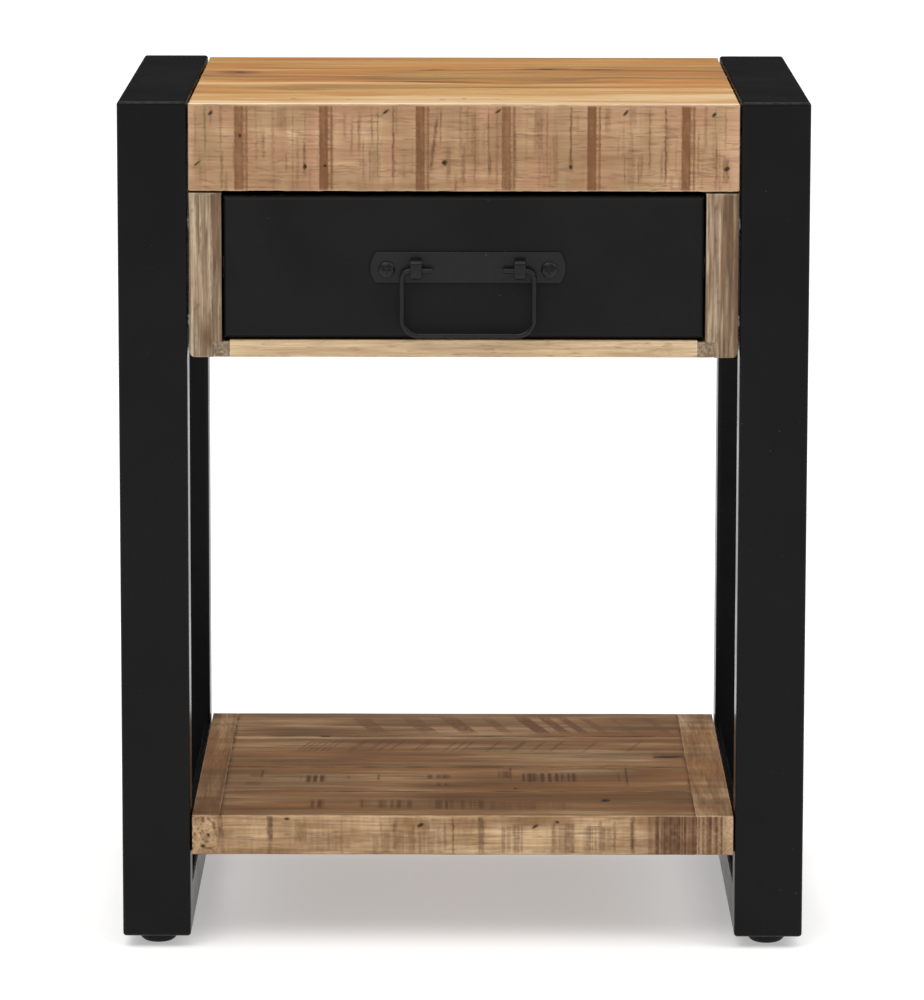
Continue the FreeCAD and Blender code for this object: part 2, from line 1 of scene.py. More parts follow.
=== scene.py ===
import bpy
import functools
import itertools
import math
import numpy as np
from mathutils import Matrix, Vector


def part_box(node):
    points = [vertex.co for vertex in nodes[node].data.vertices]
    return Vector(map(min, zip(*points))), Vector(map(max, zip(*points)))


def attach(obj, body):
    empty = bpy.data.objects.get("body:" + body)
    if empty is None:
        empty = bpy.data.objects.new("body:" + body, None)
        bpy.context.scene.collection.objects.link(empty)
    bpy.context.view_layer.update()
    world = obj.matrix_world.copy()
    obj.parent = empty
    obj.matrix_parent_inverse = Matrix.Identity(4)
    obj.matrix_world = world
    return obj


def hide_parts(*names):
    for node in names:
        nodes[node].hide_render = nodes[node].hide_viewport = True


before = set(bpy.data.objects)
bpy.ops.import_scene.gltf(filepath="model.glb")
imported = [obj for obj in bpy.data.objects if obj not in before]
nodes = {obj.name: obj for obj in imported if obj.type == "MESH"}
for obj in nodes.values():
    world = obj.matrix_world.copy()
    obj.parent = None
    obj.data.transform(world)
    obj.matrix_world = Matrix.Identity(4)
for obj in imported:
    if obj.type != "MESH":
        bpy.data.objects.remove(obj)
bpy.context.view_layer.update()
mm = 0.001

# camera, floor and light

studio = {
    "cameraDistance": 3.317,       # in front of the steel
    "cameraHeight": 0.8233,
    "cameraSideways": -0.0017,
    "cameraPitch": 9.505,          # degrees downwards
    "cameraRoll": -0.1,
    "lens": 208.1,
    "sensorWidth": 36.0,
    "viewDepth": 200.0,
    "floorSize": 60.0,
    "floorGap": 0.2 * mm,          # just clear of the feet
    "floorColor": (0.72, 0.72, 0.715, 1.0),
    "floorCloud": (0.74, 0.74, 0.735, 1.0),
    "cloudScale": 1.5,
    "floorRoughness": 0.9,
    "floorSpecular": 0.1,
    "floorGlow": 0.4,              # keeps the shadow under the table pale
    "skyTop": 1.6,                 # strength of the light from above,
    "skyBack": 0.03,               # from low behind
    "skyFront": 0.32,              # and from low in front
    "skyTurn": (-0.6, 0.6),        # front to back, where the low light changes
    "skyRise": (0.4, 0.8),         # where it gives way to the light from above
    "lampAim": (0, 0, 0.3),
    # name, place, size, power and color
    "lamps": (("frontSoftbox", (-0.9, -2.2, 2.6), (1.8, 1.4), 25, (1.0, 0.985, 0.96)),
              ("sideSoftbox", (2.2, -1.2, 1.9), (1.2, 1.6), 14, (0.95, 0.975, 1.0))),
}


def addCamera():
    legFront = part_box("left_front_leg")[0].y
    data = bpy.data.cameras.new("tableCamera")
    data.lens = studio["lens"]
    data.sensor_width = studio["sensorWidth"]
    data.clip_end = studio["viewDepth"]
    camera = bpy.data.objects.new("tableCamera", data)
    camera.location = (studio["cameraSideways"], legFront - studio["cameraDistance"],
                       studio["cameraHeight"])
    camera.rotation_euler = (math.radians(90 - studio["cameraPitch"]),
                             math.radians(studio["cameraRoll"]), 0.0)
    bpy.context.scene.collection.objects.link(camera)
    bpy.context.scene.camera = camera


# short ways to add nodes to a tree

def put(tree, kind, inputs=None, **settings):
    node = tree.nodes.new("ShaderNode" + kind)
    for key, value in settings.items():
        setattr(node, key, value)
    for socket, value in (inputs or {}).items():
        if isinstance(value, bpy.types.NodeSocket):
            tree.links.new(value, node.inputs[socket])
        else:
            node.inputs[socket].default_value = value
    return node


def calc(tree, operation, first, second=0.0, clamp=False):
    return put(tree, "Math", {0: first, 1: second}, operation=operation,
               use_clamp=clamp).outputs[0]


def times(tree, first, second):
    return calc(tree, "MULTIPLY", first, second)


def vectorCalc(tree, operation, inputs, output=0):
    return put(tree, "VectorMath", inputs, operation=operation).outputs[output]


def objectPlace(tree):
    return put(tree, "TexCoord").outputs["Object"]


def spread(tree, value, low, high, toLow=0.0, toHigh=1.0):
    # low..high becomes toLow..toHigh, and stays inside it
    return put(tree, "MapRange", {0: value, 1: low, 2: high, 3: toLow, 4: toHigh}).outputs[0]


def blendColors(tree, share, first, second):
    return put(tree, "Mix", {0: share, 6: first, 7: second}, data_type="RGBA").outputs[2]


def tinted(tree, color, mask, show, tint):
    return blendColors(tree, times(tree, mask, show), color, (*tint, 1))


def noise(tree, vector, scale, detail=3.0, rough=0.55, bend=0.0):
    return put(tree, "TexNoise", {"Vector": vector, "Scale": scale, "Detail": detail,
                                  "Roughness": rough, "Distortion": bend}).outputs["Fac"]


def scaled(tree, vector, scale):
    return put(tree, "Mapping", {"Vector": vector, "Scale": scale}).outputs[0]


def ramp(tree, value, stops):
    node = put(tree, "ValToRGB", {0: value})
    bar = node.color_ramp.elements
    while len(bar) < len(stops):
        bar.new(0.5)
    for mark, (place, color) in zip(bar, stops):
        mark.position = place
        mark.color = (*color, 1.0)
    return node.outputs[0]


def newGroup(name, inputs, outputs):
    group = bpy.data.node_groups.new(name, "ShaderNodeTree")
    for label, kind, value in inputs:
        socket = group.interface.new_socket(name=label, in_out="INPUT", socket_type=kind)
        if value is not None:
            socket.default_value = value
    for label in outputs:
        group.interface.new_socket(name=label, in_out="OUTPUT", socket_type="NodeSocketFloat")
    given = group.nodes.new("NodeGroupInput").outputs
    return group, given, group.nodes.new("NodeGroupOutput").inputs


def useGroup(tree, group, inputs):
    return put(tree, "Group", inputs, node_tree=group).outputs


def addWorld():
    # brightest from above, and darker from behind than from the front
    world = bpy.data.worlds.new("softRoom")
    bpy.context.scene.world = world
    world.use_nodes = True
    tree = world.node_tree
    back = tree.nodes["Background"]
    back.inputs["Color"].default_value = (1.0, 1.0, 1.0, 1.0)
    way = put(tree, "TexCoord").outputs["Generated"]
    parts = put(tree, "SeparateXYZ", {0: way}).outputs
    level = spread(tree, parts["Y"], *studio["skyTurn"], studio["skyFront"], studio["skyBack"])
    high = spread(tree, parts["Z"], *studio["skyRise"])
    node = put(tree, "Mix", {0: high, 2: level, 3: studio["skyTop"]})
    tree.links.new(node.outputs[0], back.inputs["Strength"])


def addLamp(name, place, size, power, color):
    data = bpy.data.lights.new(name, "AREA")
    data.shape = "RECTANGLE"
    data.size, data.size_y = size
    data.energy = power
    data.color = color
    lamp = bpy.data.objects.new(name, data)
    lamp.location = place
    way = np.array(studio["lampAim"]) - np.array(place)
    lamp.rotation_euler = (math.atan2(math.hypot(way[0], way[1]), -way[2]), 0.0,
                           math.atan2(-way[0], way[1]))
    bpy.context.scene.collection.objects.link(lamp)


def addFloor():
    bpy.ops.mesh.primitive_plane_add(size=studio["floorSize"])
    floor = bpy.context.object
    floor.name = "studioFloor"
    floor.location.z = -studio["floorGap"]
    paint = bpy.data.materials.new("floorPaint")
    paint.use_nodes = True
    tree = paint.node_tree
    skin = tree.nodes["Principled BSDF"]
    cloud = noise(tree, objectPlace(tree), studio["cloudScale"])
    tone = blendColors(tree, cloud, studio["floorColor"], studio["floorCloud"])
    tree.links.new(tone, skin.inputs["Base Color"])
    skin.inputs["Roughness"].default_value = studio["floorRoughness"]
    skin.inputs["Specular IOR Level"].default_value = studio["floorSpecular"]
    skin.inputs["Emission Color"].default_value = (1.0, 1.0, 1.0, 1.0)
    skin.inputs["Emission Strength"].default_value = studio["floorGlow"]
    floor.data.materials.append(paint)


bpy.context.scene.view_settings.view_transform = "Standard"
addCamera()
addWorld()
addFloor()
for lamp in studio["lamps"]:
    addLamp(*lamp)
print("studio ready")

# effects that several finishes share

def makeTimberGrain():
    # Place runs along the grain in its first value
    tree, given, out = newGroup("timberGrain", [
        ("Place", "NodeSocketVector", None),
        ("Streak Size", "NodeSocketFloat", 0.012),
        ("Fibre Size", "NodeSocketFloat", 0.0011),
        ("Wave", "NodeSocketFloat", 0.006),
    ], ["Streaks", "Fibres", "Pores"])
    place = given["Place"]
    drift = put(tree, "TexNoise", {"Vector": scaled(tree, place, (5, 14, 14)),
                                             "Scale": 1.0, "Detail": 2.0}).outputs["Color"]
    centred = vectorCalc(tree, "SUBTRACT", {0: drift, 1: (0.5, 0.5, 0.5)})
    pushed = vectorCalc(tree, "SCALE", {0: centred, 3: given["Wave"]})
    bent = vectorCalc(tree, "ADD", {0: place, 1: pushed})
    streakScale = calc(tree, "DIVIDE", 1.0, given["Streak Size"])
    fibreScale = calc(tree, "DIVIDE", 1.0, given["Fibre Size"])
    streaks = noise(tree, scaled(tree, bent, (0.07, 1, 1)), streakScale, 5.0, 0.6)
    fibres = noise(tree, scaled(tree, bent, (0.045, 1, 1)), fibreScale, 2.0, 0.6)
    pores = noise(tree, scaled(tree, bent, (0.16, 1, 1)), times(tree, fibreScale, 0.8),
                  1.0, 0.5)
    tree.links.new(spread(tree, streaks, 0.28, 0.72), out["Streaks"])
    tree.links.new(spread(tree, fibres, 0.3, 0.7), out["Fibres"])
    tree.links.new(spread(tree, pores, 0.63, 0.72), out["Pores"])
    return tree


def makeTornFibres():
    # short dark strokes and lifted fibres left by a coarse saw
    tree, given, out = newGroup("tornFibres", [
        ("Place", "NodeSocketVector", None),
        ("Stroke Height", "NodeSocketFloat", 0.0014),
    ], ["Strokes", "Fuzz"])
    place = given["Place"]
    size = calc(tree, "DIVIDE", 1.0, given["Stroke Height"])
    lean = noise(tree, scaled(tree, place, (22, 30, 30)), 1.0, 1.0)
    lift = times(tree, calc(tree, "SUBTRACT", lean, 0.5), 0.005)
    shift = put(tree, "CombineXYZ", {1: lift, 2: lift}).outputs[0]
    bent = vectorCalc(tree, "ADD", {0: place, 1: shift})
    thin = noise(tree, scaled(tree, bent, (0.11, 1, 1)), size, 2.0, 0.65)
    patch = noise(tree, scaled(tree, place, (60, 120, 120)), 1.0, 2.0)
    cut = spread(tree, patch, 0.35, 0.7, 0.64, 0.53)
    over = calc(tree, "SUBTRACT", thin, cut)
    tree.links.new(spread(tree, over, 0.0, 0.09), out["Strokes"])
    fuzz = noise(tree, scaled(tree, bent, (0.25, 1, 1)), times(tree, size, 2.2), 2.0)
    tree.links.new(fuzz, out["Fuzz"])
    return tree


def makeArrisWearAndHighlight():
    # 1 along edges and corners, 0 on flat faces; it marks worn edges, and on the coated steel also
    # a painted highlight along the rounded arrises
    tree, given, out = newGroup("arrisWearAndHighlight", [
        ("Width", "NodeSocketFloat", 0.0012),
        ("Breakup", "NodeSocketFloat", 250.0),
    ], ["Edge"])
    eased = put(tree, "Bevel", {"Radius": given["Width"]}, samples=4).outputs[0]
    flat = put(tree, "NewGeometry").outputs["True Normal"]
    same = vectorCalc(tree, "DOT_PRODUCT", {0: eased, 1: flat}, "Value")
    edge = spread(tree, same, 0.995, 0.8)
    broken = spread(tree, noise(tree, objectPlace(tree), given["Breakup"], 3.0), 0.35, 0.6)
    tree.links.new(times(tree, edge, broken), out["Edge"])
    return tree


def makeCoatTexture():
    # the fine orange peel of baked powder, cloudy gloss and a few settled specks
    tree, given, out = newGroup("coatTexture", [
        ("Place", "NodeSocketVector", None),
        ("Peel Size", "NodeSocketFloat", 0.0013),
    ], ["Peel", "Cloud", "Specks"])
    size = calc(tree, "DIVIDE", 1.0, given["Peel Size"])
    peel = noise(tree, given["Place"], size, 2.0, 0.5)
    cloud = noise(tree, given["Place"], 14.0, 4.0, 0.6, 0.3)
    dots = put(tree, "TexVoronoi", {"Vector": given["Place"], "Scale": 160.0})
    near = spread(tree, dots.outputs["Distance"], 0.09, 0.03)
    some = spread(tree, noise(tree, given["Place"], 37.0, 1.0), 0.62, 0.7)
    tree.links.new(peel, out["Peel"])
    tree.links.new(spread(tree, cloud, 0.3, 0.7), out["Cloud"])
    tree.links.new(times(tree, near, some), out["Specks"])
    return tree


def makeHandRub():
    # faint wiped streaks and fine scratches
    tree, given, out = newGroup("handRub", [
        ("Place", "NodeSocketVector", None),
        ("Size", "NodeSocketFloat", 0.03),
    ], ["Smudge", "Scratches"])
    size = calc(tree, "DIVIDE", 1.0, given["Size"])
    smudge = noise(tree, given["Place"], size, 3.0, 0.6, 0.8)
    turned = put(tree, "Mapping", {"Vector": given["Place"], "Rotation": (0.3, 0.7, 0.4),
                                             "Scale": (12, 900, 900)}).outputs[0]
    thin = noise(tree, turned, 1.0, 2.0, 0.5)
    tree.links.new(spread(tree, smudge, 0.35, 0.7), out["Smudge"])
    tree.links.new(spread(tree, thin, 0.7, 0.76), out["Scratches"])
    return tree


timberGrain = makeTimberGrain()
tornFibres = makeTornFibres()
arrisWearAndHighlight = makeArrisWearAndHighlight()
coatTexture = makeCoatTexture()
handRub = makeHandRub()

# finishes for steel, plastic, zinc and each kind of board

def newFinish(name):
    finish = bpy.data.materials.new(name)
    finish.use_nodes = True
    return finish, finish.node_tree, finish.node_tree.nodes["Principled BSDF"]


def setBump(tree, skin, height, strength, distance):
    bump = put(tree, "Bump", {"Height": height, "Strength": strength, "Distance": distance})
    tree.links.new(bump.outputs[0], skin.inputs["Normal"])


def painted(tree, name):
    # a value kept on the mesh, 0 where a piece has none
    return put(tree, "Attribute", attribute_name=name).outputs["Fac"]


def grainPlace(tree, along):
    # object places with the grain's direction first
    place = objectPlace(tree)
    if along == "x":
        return place
    x, y, z = put(tree, "SeparateXYZ", {0: place}).outputs
    order = {"y": {0: y, 1: x, 2: z}, "z": {0: z, 1: x, 2: y}}[along]
    return put(tree, "CombineXYZ", order).outputs[0]


def coatedSteel(name, look):
    finish, tree, skin = newFinish(name)
    place = objectPlace(tree)
    coat = useGroup(tree, coatTexture, {"Place": place, "Peel Size": look["peelSize"]})
    rub = useGroup(tree, handRub, {"Place": place, "Size": look["smudgeSize"]})
    edgeWearAndHighlight = useGroup(tree, arrisWearAndHighlight, {"Width": look["edgeWidth"]})
    color = blendColors(tree, coat["Cloud"], (*look["dark"], 1), (*look["pale"], 1))
    # painted highlight: the pale edge colour stands for light caught on the rounded arrises,
    # together with wear of the coat
    color = tinted(tree, color, edgeWearAndHighlight["Edge"], look["edgeShow"], look["edgeColor"])
    color = tinted(tree, color, coat["Specks"], look["speckShow"], look["speckColor"])
    tree.links.new(color, skin.inputs["Base Color"])
    low, high = look["roughness"]
    rough = spread(tree, coat["Cloud"], 0.0, 1.0, low, high)
    rough = calc(tree, "ADD", rough, times(tree, rub["Smudge"], look["smudgeGloss"]))
    rough = calc(tree, "ADD", rough, times(tree, edgeWearAndHighlight["Edge"], look["edgeGloss"]), clamp=True)
    tree.links.new(rough, skin.inputs["Roughness"])
    skin.inputs["Specular IOR Level"].default_value = look["specular"]
    scratches = times(tree, rub["Scratches"], look["scratchDepth"])
    height = calc(tree, "SUBTRACT", coat["Peel"], scratches)
    setBump(tree, skin, height, look["peelStrength"], look["peelDepth"])
    return finish


frameSteel = {
    "dark": (0.0038, 0.0038, 0.004), "pale": (0.0062, 0.0062, 0.0066),
    # edgeColor is partly wear and partly a painted highlight on the rounded edges
    "edgeColor": (0.042, 0.043, 0.045), "edgeWidth": 0.0013, "edgeShow": 0.85,
    "speckColor": (0.09, 0.085, 0.08), "speckShow": 0.5,
    "roughness": (0.24, 0.34), "smudgeGloss": -0.05, "edgeGloss": -0.1, "specular": 0.1,
    "peelSize": 0.0014, "peelStrength": 0.35, "peelDepth": 0.00012,
    "smudgeSize": 0.05, "scratchDepth": 0.25,
}
drawerSteel = {**frameSteel, "dark": (0.006, 0.006, 0.0066), "pale": (0.0095, 0.0095, 0.0105),
               "roughness": (0.42, 0.52), "peelSize": 0.001, "smudgeSize": 0.03}
handleSteel = {**frameSteel, "dark": (0.0055, 0.0055, 0.0057), "pale": (0.009, 0.009, 0.0093),
               "edgeWidth": 0.0005, "edgeShow": 0.6, "roughness": (0.24, 0.36),
               "specular": 0.22, "peelSize": 0.0006, "peelStrength": 0.3, "smudgeSize": 0.01}
footPlastic = {**frameSteel, "dark": (0.007, 0.007, 0.007), "pale": (0.012, 0.012, 0.012),
               "edgeWidth": 0.0006, "roughness": (0.5, 0.65), "specular": 0.2,
               "peelSize": 0.0005, "smudgeSize": 0.01}
zincLook = {
    "grey": (0.52, 0.53, 0.55), "yellow": (0.68, 0.66, 0.58), "edgeColor": (0.8, 0.8, 0.8),
    "edgeWidth": 0.0004, "breakup": 900.0, "smudgeSize": 0.004, "roughness": (0.28, 0.45),
    "bump": 0.3, "bumpDepth": 0.00005,
}


def zincPlate(name, look):
    finish, tree, skin = newFinish(name)
    rub = useGroup(tree, handRub, {"Place": objectPlace(tree), "Size": look["smudgeSize"]})
    edgeWearAndHighlight = useGroup(tree, arrisWearAndHighlight, {"Width": look["edgeWidth"], "Breakup": look["breakup"]})
    color = blendColors(tree, rub["Smudge"], (*look["grey"], 1), (*look["yellow"], 1))
    color = blendColors(tree, edgeWearAndHighlight["Edge"], color, (*look["edgeColor"], 1))
    tree.links.new(color, skin.inputs["Base Color"])
    rough = spread(tree, rub["Smudge"], 0, 1, *look["roughness"])
    tree.links.new(rough, skin.inputs["Roughness"])
    skin.inputs["Metallic"].default_value = 1.0
    setBump(tree, skin, rub["Scratches"], look["bump"], look["bumpDepth"])
    return finish


def timber(name, look):
    finish, tree, skin = newFinish(name)
    board = painted(tree, "board")
    push = put(tree, "CombineXYZ", {0: times(tree, board, 0.7), 1: board}).outputs[0]
    place = vectorCalc(tree, "ADD", {0: grainPlace(tree, look["along"]), 1: push})
    grain = useGroup(tree, timberGrain, {"Place": place, "Streak Size": look["streak"],
                                         "Fibre Size": look["fibre"], "Wave": look["wave"]})
    torn = useGroup(tree, tornFibres, {"Place": place, "Stroke Height": look["tornHeight"]})
    edgeWearAndHighlight = useGroup(tree, arrisWearAndHighlight, {"Width": look["wornWidth"], "Breakup": look["wornBreakup"]})
    streaks = times(tree, calc(tree, "SUBTRACT", grain["Streaks"], 0.5), look["streakShow"])
    level = calc(tree, "ADD", calc(tree, "ADD", streaks, 0.5), painted(tree, "tone"), clamp=True)
    color = ramp(tree, level, look["colors"])
    blush = painted(tree, "blush")
    for way, tint in ((1, look["blushColor"]), (-1, look["oliveColor"])):
        share = calc(tree, "MULTIPLY", blush, way * look["blushShow"], clamp=True)
        color = blendColors(tree, share, color, (*tint, 1))
    rubbed = calc(tree, "MAXIMUM", painted(tree, "worn"), edgeWearAndHighlight["Edge"])
    layers = {"fibre": calc(tree, "SUBTRACT", 1.0, grain["Fibres"]), "pore": grain["Pores"],
              "worn": rubbed, "torn": torn["Strokes"]}
    for layer, mask in layers.items():
        color = tinted(tree, color, mask, look[layer + "Show"], look[layer + "Color"])
    for mark, tint in look["marks"].items():
        color = blendColors(tree, painted(tree, mark), color, (*tint, 1))
    tree.links.new(color, skin.inputs["Base Color"])
    low, high = look["roughness"]
    tree.links.new(spread(tree, grain["Fibres"], 0.0, 1.0, high, low), skin.inputs["Roughness"])
    skin.inputs["Specular IOR Level"].default_value = look["specular"]
    height = times(tree, grain["Fibres"], look["fibreHeight"])
    height = calc(tree, "ADD", height, times(tree, torn["Fuzz"], look["fuzzHeight"]))
    for layer in ("torn", "pore"):
        height = calc(tree, "SUBTRACT", height, times(tree, layers[layer], look[layer + "Show"]))
    setBump(tree, skin, height, look["bump"], look["bumpDepth"])
    return finish


sawStain = {"stain": (0.18, 0.078, 0.031), "lines": (0.1, 0.037, 0.014),
            "knots": (0.032, 0.018, 0.007)}
shelfStain = {"stain": (0.145, 0.066, 0.03), "lines": (0.07, 0.031, 0.015),
              "knots": (0.026, 0.011, 0.006)}
apronLook = {
    "along": "x", "streak": 0.016, "fibre": 0.0015, "wave": 0.005, "streakShow": 0.7,
    "colors": [(0.0, (0.25, 0.135, 0.065)), (0.45, (0.4, 0.235, 0.125)),
               (0.75, (0.5, 0.315, 0.175)), (1.0, (0.62, 0.43, 0.25))],
    "blushColor": (0.47, 0.24, 0.15), "oliveColor": (0.36, 0.255, 0.13), "blushShow": 0.55,
    "fibreColor": (0.22, 0.115, 0.06), "fibreShow": 0.5,
    "poreColor": (0.16, 0.08, 0.045), "poreShow": 0.35,
    "wornColor": (0.74, 0.53, 0.34), "wornShow": 0.7, "wornWidth": 0.0012, "wornBreakup": 120.0,
    "tornColor": (0.19, 0.095, 0.05), "tornShow": 0.5, "tornHeight": 0.0016,
    "marks": sawStain, "roughness": (0.68, 0.86), "specular": 0.25,
    "fibreHeight": 0.6, "fuzzHeight": 0.5, "bump": 0.5, "bumpDepth": 0.0003,
}
topLook = {
    **apronLook, "streak": 0.02, "fibre": 0.0016, "wave": 0.012, "streakShow": 0.55,
    "colors": [(0.0, (0.12, 0.052, 0.016)), (0.28, (0.29, 0.138, 0.042)),
               (0.5, (0.47, 0.22, 0.058)), (0.7, (0.57, 0.325, 0.115)), (1.0, (0.74, 0.53, 0.3))],
    "fibreColor": (0.34, 0.16, 0.055), "fibreShow": 0.4, "poreShow": 0.3,
    "blushColor": (0.53, 0.2, 0.05), "oliveColor": (0.4, 0.27, 0.09),
    # the pale worn colour also carries the painted highlight along the top's front edge
    "wornColor": (0.97, 0.83, 0.64), "tornShow": 0.0,
    "roughness": (0.45, 0.6), "specular": 0.22, "fibreHeight": 0.3, "fuzzHeight": 0.1, "bump": 0.25,
}
sideLook = {
    **apronLook, "along": "z", "streak": 0.005, "fibre": 0.0017, "wave": 0.004,
    "streakShow": 1.15,
    "colors": [(0.0, (0.1, 0.062, 0.037)), (0.35, (0.24, 0.16, 0.098)),
               (0.65, (0.39, 0.29, 0.19)), (1.0, (0.56, 0.45, 0.31))],
    "fibreColor": (0.1, 0.06, 0.034), "fibreShow": 0.85, "tornShow": 0.3,
    "blushColor": (0.34, 0.2, 0.12), "oliveColor": (0.3, 0.25, 0.15),
    "tornColor": (0.1, 0.065, 0.045), "wornColor": (0.55, 0.44, 0.3), "wornShow": 0.5,
}
cleatLook = {**sideLook, "along": "y", "colors": [(0.0, (0.2, 0.15, 0.105)),
             (0.5, (0.31, 0.24, 0.17)), (1.0, (0.42, 0.33, 0.23))]}
boardLook = {
    **apronLook, "streak": 0.009, "fibre": 0.0012,
    "colors": [(0.0, (0.44, 0.3, 0.17)), (0.5, (0.62, 0.46, 0.28)), (1.0, (0.74, 0.57, 0.37))],
    "fibreColor": (0.33, 0.2, 0.11), "fibreShow": 0.6, "tornShow": 0.3, "poreShow": 0.3,
    "wornColor": (0.8, 0.66, 0.46),
}
insideLook = {
    **boardLook, "colors": [(0.0, (0.42, 0.28, 0.15)), (0.5, (0.57, 0.4, 0.23)),
                            (1.0, (0.68, 0.5, 0.31))],
    "along": "y", "roughness": (0.6, 0.75),
}
shelfLook = {
    **apronLook, "streak": 0.011, "fibre": 0.0013, "wave": 0.008, "streakShow": 0.55,
    "colors": [(0.0, (0.1, 0.044, 0.016)), (0.35, (0.19, 0.097, 0.041)),
               (0.55, (0.29, 0.165, 0.078)), (0.75, (0.45, 0.29, 0.155)),
               (1.0, (0.66, 0.46, 0.265))],
    "fibreColor": (0.13, 0.065, 0.03), "fibreShow": 0.5, "tornShow": 0.3,
    "tornColor": (0.1, 0.055, 0.03), "wornShow": 0.6,
    "blushColor": (0.33, 0.145, 0.045), "oliveColor": (0.17, 0.125, 0.06),
    "marks": shelfStain, "roughness": (0.6, 0.78),
}
shelfEndLook = {**shelfLook, "along": "y"}

steelFinish = coatedSteel("satinBlackSteel", frameSteel)
drawerFinish = coatedSteel("drawerBlackSteel", drawerSteel)
handleFinish = coatedSteel("handleBlackIron", handleSteel)
footFinish = coatedSteel("blackFootPlastic", footPlastic)
zincFinish = zincPlate("zincPlatedSteel", zincLook)
apronWood = timber("roughSawnApron", apronLook)
topWood = timber("oiledTopBoards", topLook)
sideWood = timber("uprightGrainSides", sideLook)
cleatWood = timber("greyCleatWood", cleatLook)
bottomWood = timber("paleBottomBoard", boardLook)
insideWood = timber("drawerBoxWood", insideLook)
runnerWood = timber("hardRunnerWood", {**insideLook, "colors": cleatLook["colors"]})
shelfWood = timber("brownShelfBoards", shelfLook)
shelfEndWood = timber("crossShelfEnds", shelfEndLook)


plyLook = {
    "streak": 0.02, "fibre": 0.0012, "wave": 0.01,
    "colors": [(0.0, (0.52, 0.38, 0.22)), (1.0, (0.7, 0.55, 0.36))],
    "poreColor": (0.33, 0.2, 0.1), "poreShow": 0.4,
    "layer": 0.0016,               # two veneers, one dark and one pale
    "layerColors": ((0.3, 0.18, 0.09, 1), (0.66, 0.5, 0.31, 1)),
    "roughness": (0.7, 0.55), "bump": 0.25, "bumpDepth": 0.0002,
}


def birchPly(name, look):
    finish, tree, skin = newFinish(name)
    place = objectPlace(tree)
    grain = useGroup(tree, timberGrain, {"Place": place, "Streak Size": look["streak"],
                                         "Fibre Size": look["fibre"], "Wave": look["wave"]})
    face = ramp(tree, grain["Streaks"], look["colors"])
    face = tinted(tree, face, grain["Pores"], look["poreShow"], look["poreColor"])
    high = put(tree, "SeparateXYZ", {0: place}).outputs["Z"]
    layer = calc(tree, "SINE", times(tree, high, 2 * math.pi / look["layer"]))
    edge = blendColors(tree, spread(tree, layer, -0.2, 0.2), *look["layerColors"])
    normal = put(tree, "NewGeometry").outputs["Normal"]
    upward = put(tree, "SeparateXYZ", {0: normal}).outputs["Z"]
    flat = calc(tree, "GREATER_THAN", calc(tree, "ABSOLUTE", upward), 0.5)
    tree.links.new(blendColors(tree, flat, edge, face), skin.inputs["Base Color"])
    rough = spread(tree, grain["Fibres"], 0, 1, *look["roughness"])
    tree.links.new(rough, skin.inputs["Roughness"])
    setBump(tree, skin, grain["Fibres"], look["bump"], look["bumpDepth"])
    return finish


plyFinish = birchPly("birchPlywood", plyLook)

finishOfSlot = {
    "black_steel": steelFinish, "drawer_steel": drawerFinish, "handle_steel": handleFinish,
    "zinc_steel": zincFinish, "foot_plastic": footFinish, "top_wood": topWood,
    "apron_wood": apronWood, "side_wood": sideWood, "cleat_wood": cleatWood,
    "bottom_wood": bottomWood, "runner_wood": runnerWood, "drawer_wood": insideWood,
    "plywood": plyFinish, "shelf_wood": shelfWood, "shelf_end_wood": shelfEndWood,
}
for node in nodes.values():
    for place in node.material_slots:
        place.material = finishOfSlot[place.material.name]
print("finishes ready")

# boards are eased sections drawn out along their grain, then painted and worn

def softNoise(points, cell, seed):
    # smooth values from 0 to 1; cell is the pattern's step along each axis in mm
    at = points / (np.array(cell) * mm)
    base = np.floor(at).astype(np.int64)
    part = at - base
    part = part * part * (3 - 2 * part)
    total = np.zeros(len(points))
    primes = (73856093, 19349663, 83492791)
    for corner in itertools.product((0, 1), repeat=points.shape[1]):
        mixed = np.full(len(points), seed * 7919, dtype=np.int64)
        for axis, step in enumerate(corner):
            mixed ^= (base[:, axis] + step) * primes[axis]
        mixed = (mixed ^ (mixed >> 13)) & 0xFFFFFFFF
        mixed = (mixed * 1274126177) & 0xFFFFFFFF
        value = ((mixed ^ (mixed >> 15)) & 0xFFFF) / 0xFFFF
        weight = np.prod(np.where(corner, part, 1 - part), axis=1)
        total += weight * value
    return total


def clamp(values):
    return np.clip(values, 0, 1)


def most(*masks):
    return functools.reduce(np.maximum, masks)


def within(value, low, high, soft):
    # 1 between low and high, fading over soft
    rise = clamp((value - low) / soft + 0.5)
    return rise * clamp((high - value) / soft + 0.5)


def unit(vector):
    return vector / np.linalg.norm(vector)


def loopOf(corners, pointsOnSide):
    # rounded outline, counter-clockwise; corners are (across, up, rounding)
    places, normals = [], []
    count = len(corners)
    spots = [np.array(c[:2]) for c in corners]
    ways = [unit(spots[(i + 1) % count] - spots[i]) for i in range(count)]
    turns = []
    for i in range(count):
        before, after = ways[i - 1], ways[i]
        sine = before[0] * after[1] - before[1] * after[0]
        turns.append(math.atan2(sine, before @ after))
    reach = [c[2] * math.tan(turn / 2) for c, turn in zip(corners, turns)]
    for i in range(count):
        first = np.array((ways[i - 1][1], -ways[i - 1][0]))
        centre = spots[i] - ways[i - 1] * reach[i] - first * corners[i][2]
        for step in range(5):
            angle = turns[i] * step / 4
            c, s = math.cos(angle), math.sin(angle)
            normal = np.array((first[0] * c - first[1] * s, first[0] * s + first[1] * c))
            places.append(centre + normal * corners[i][2])
            normals.append(normal)
        start = spots[i] + ways[i] * reach[i]
        end = spots[(i + 1) % count] - ways[i] * reach[(i + 1) % count]
        side = np.array((ways[i][1], -ways[i][0]))
        for share in np.arange(1, pointsOnSide[i]) / pointsOnSide[i]:
            places.append(start + (end - start) * share)
            normals.append(side)
    return np.array(places), np.array(normals)


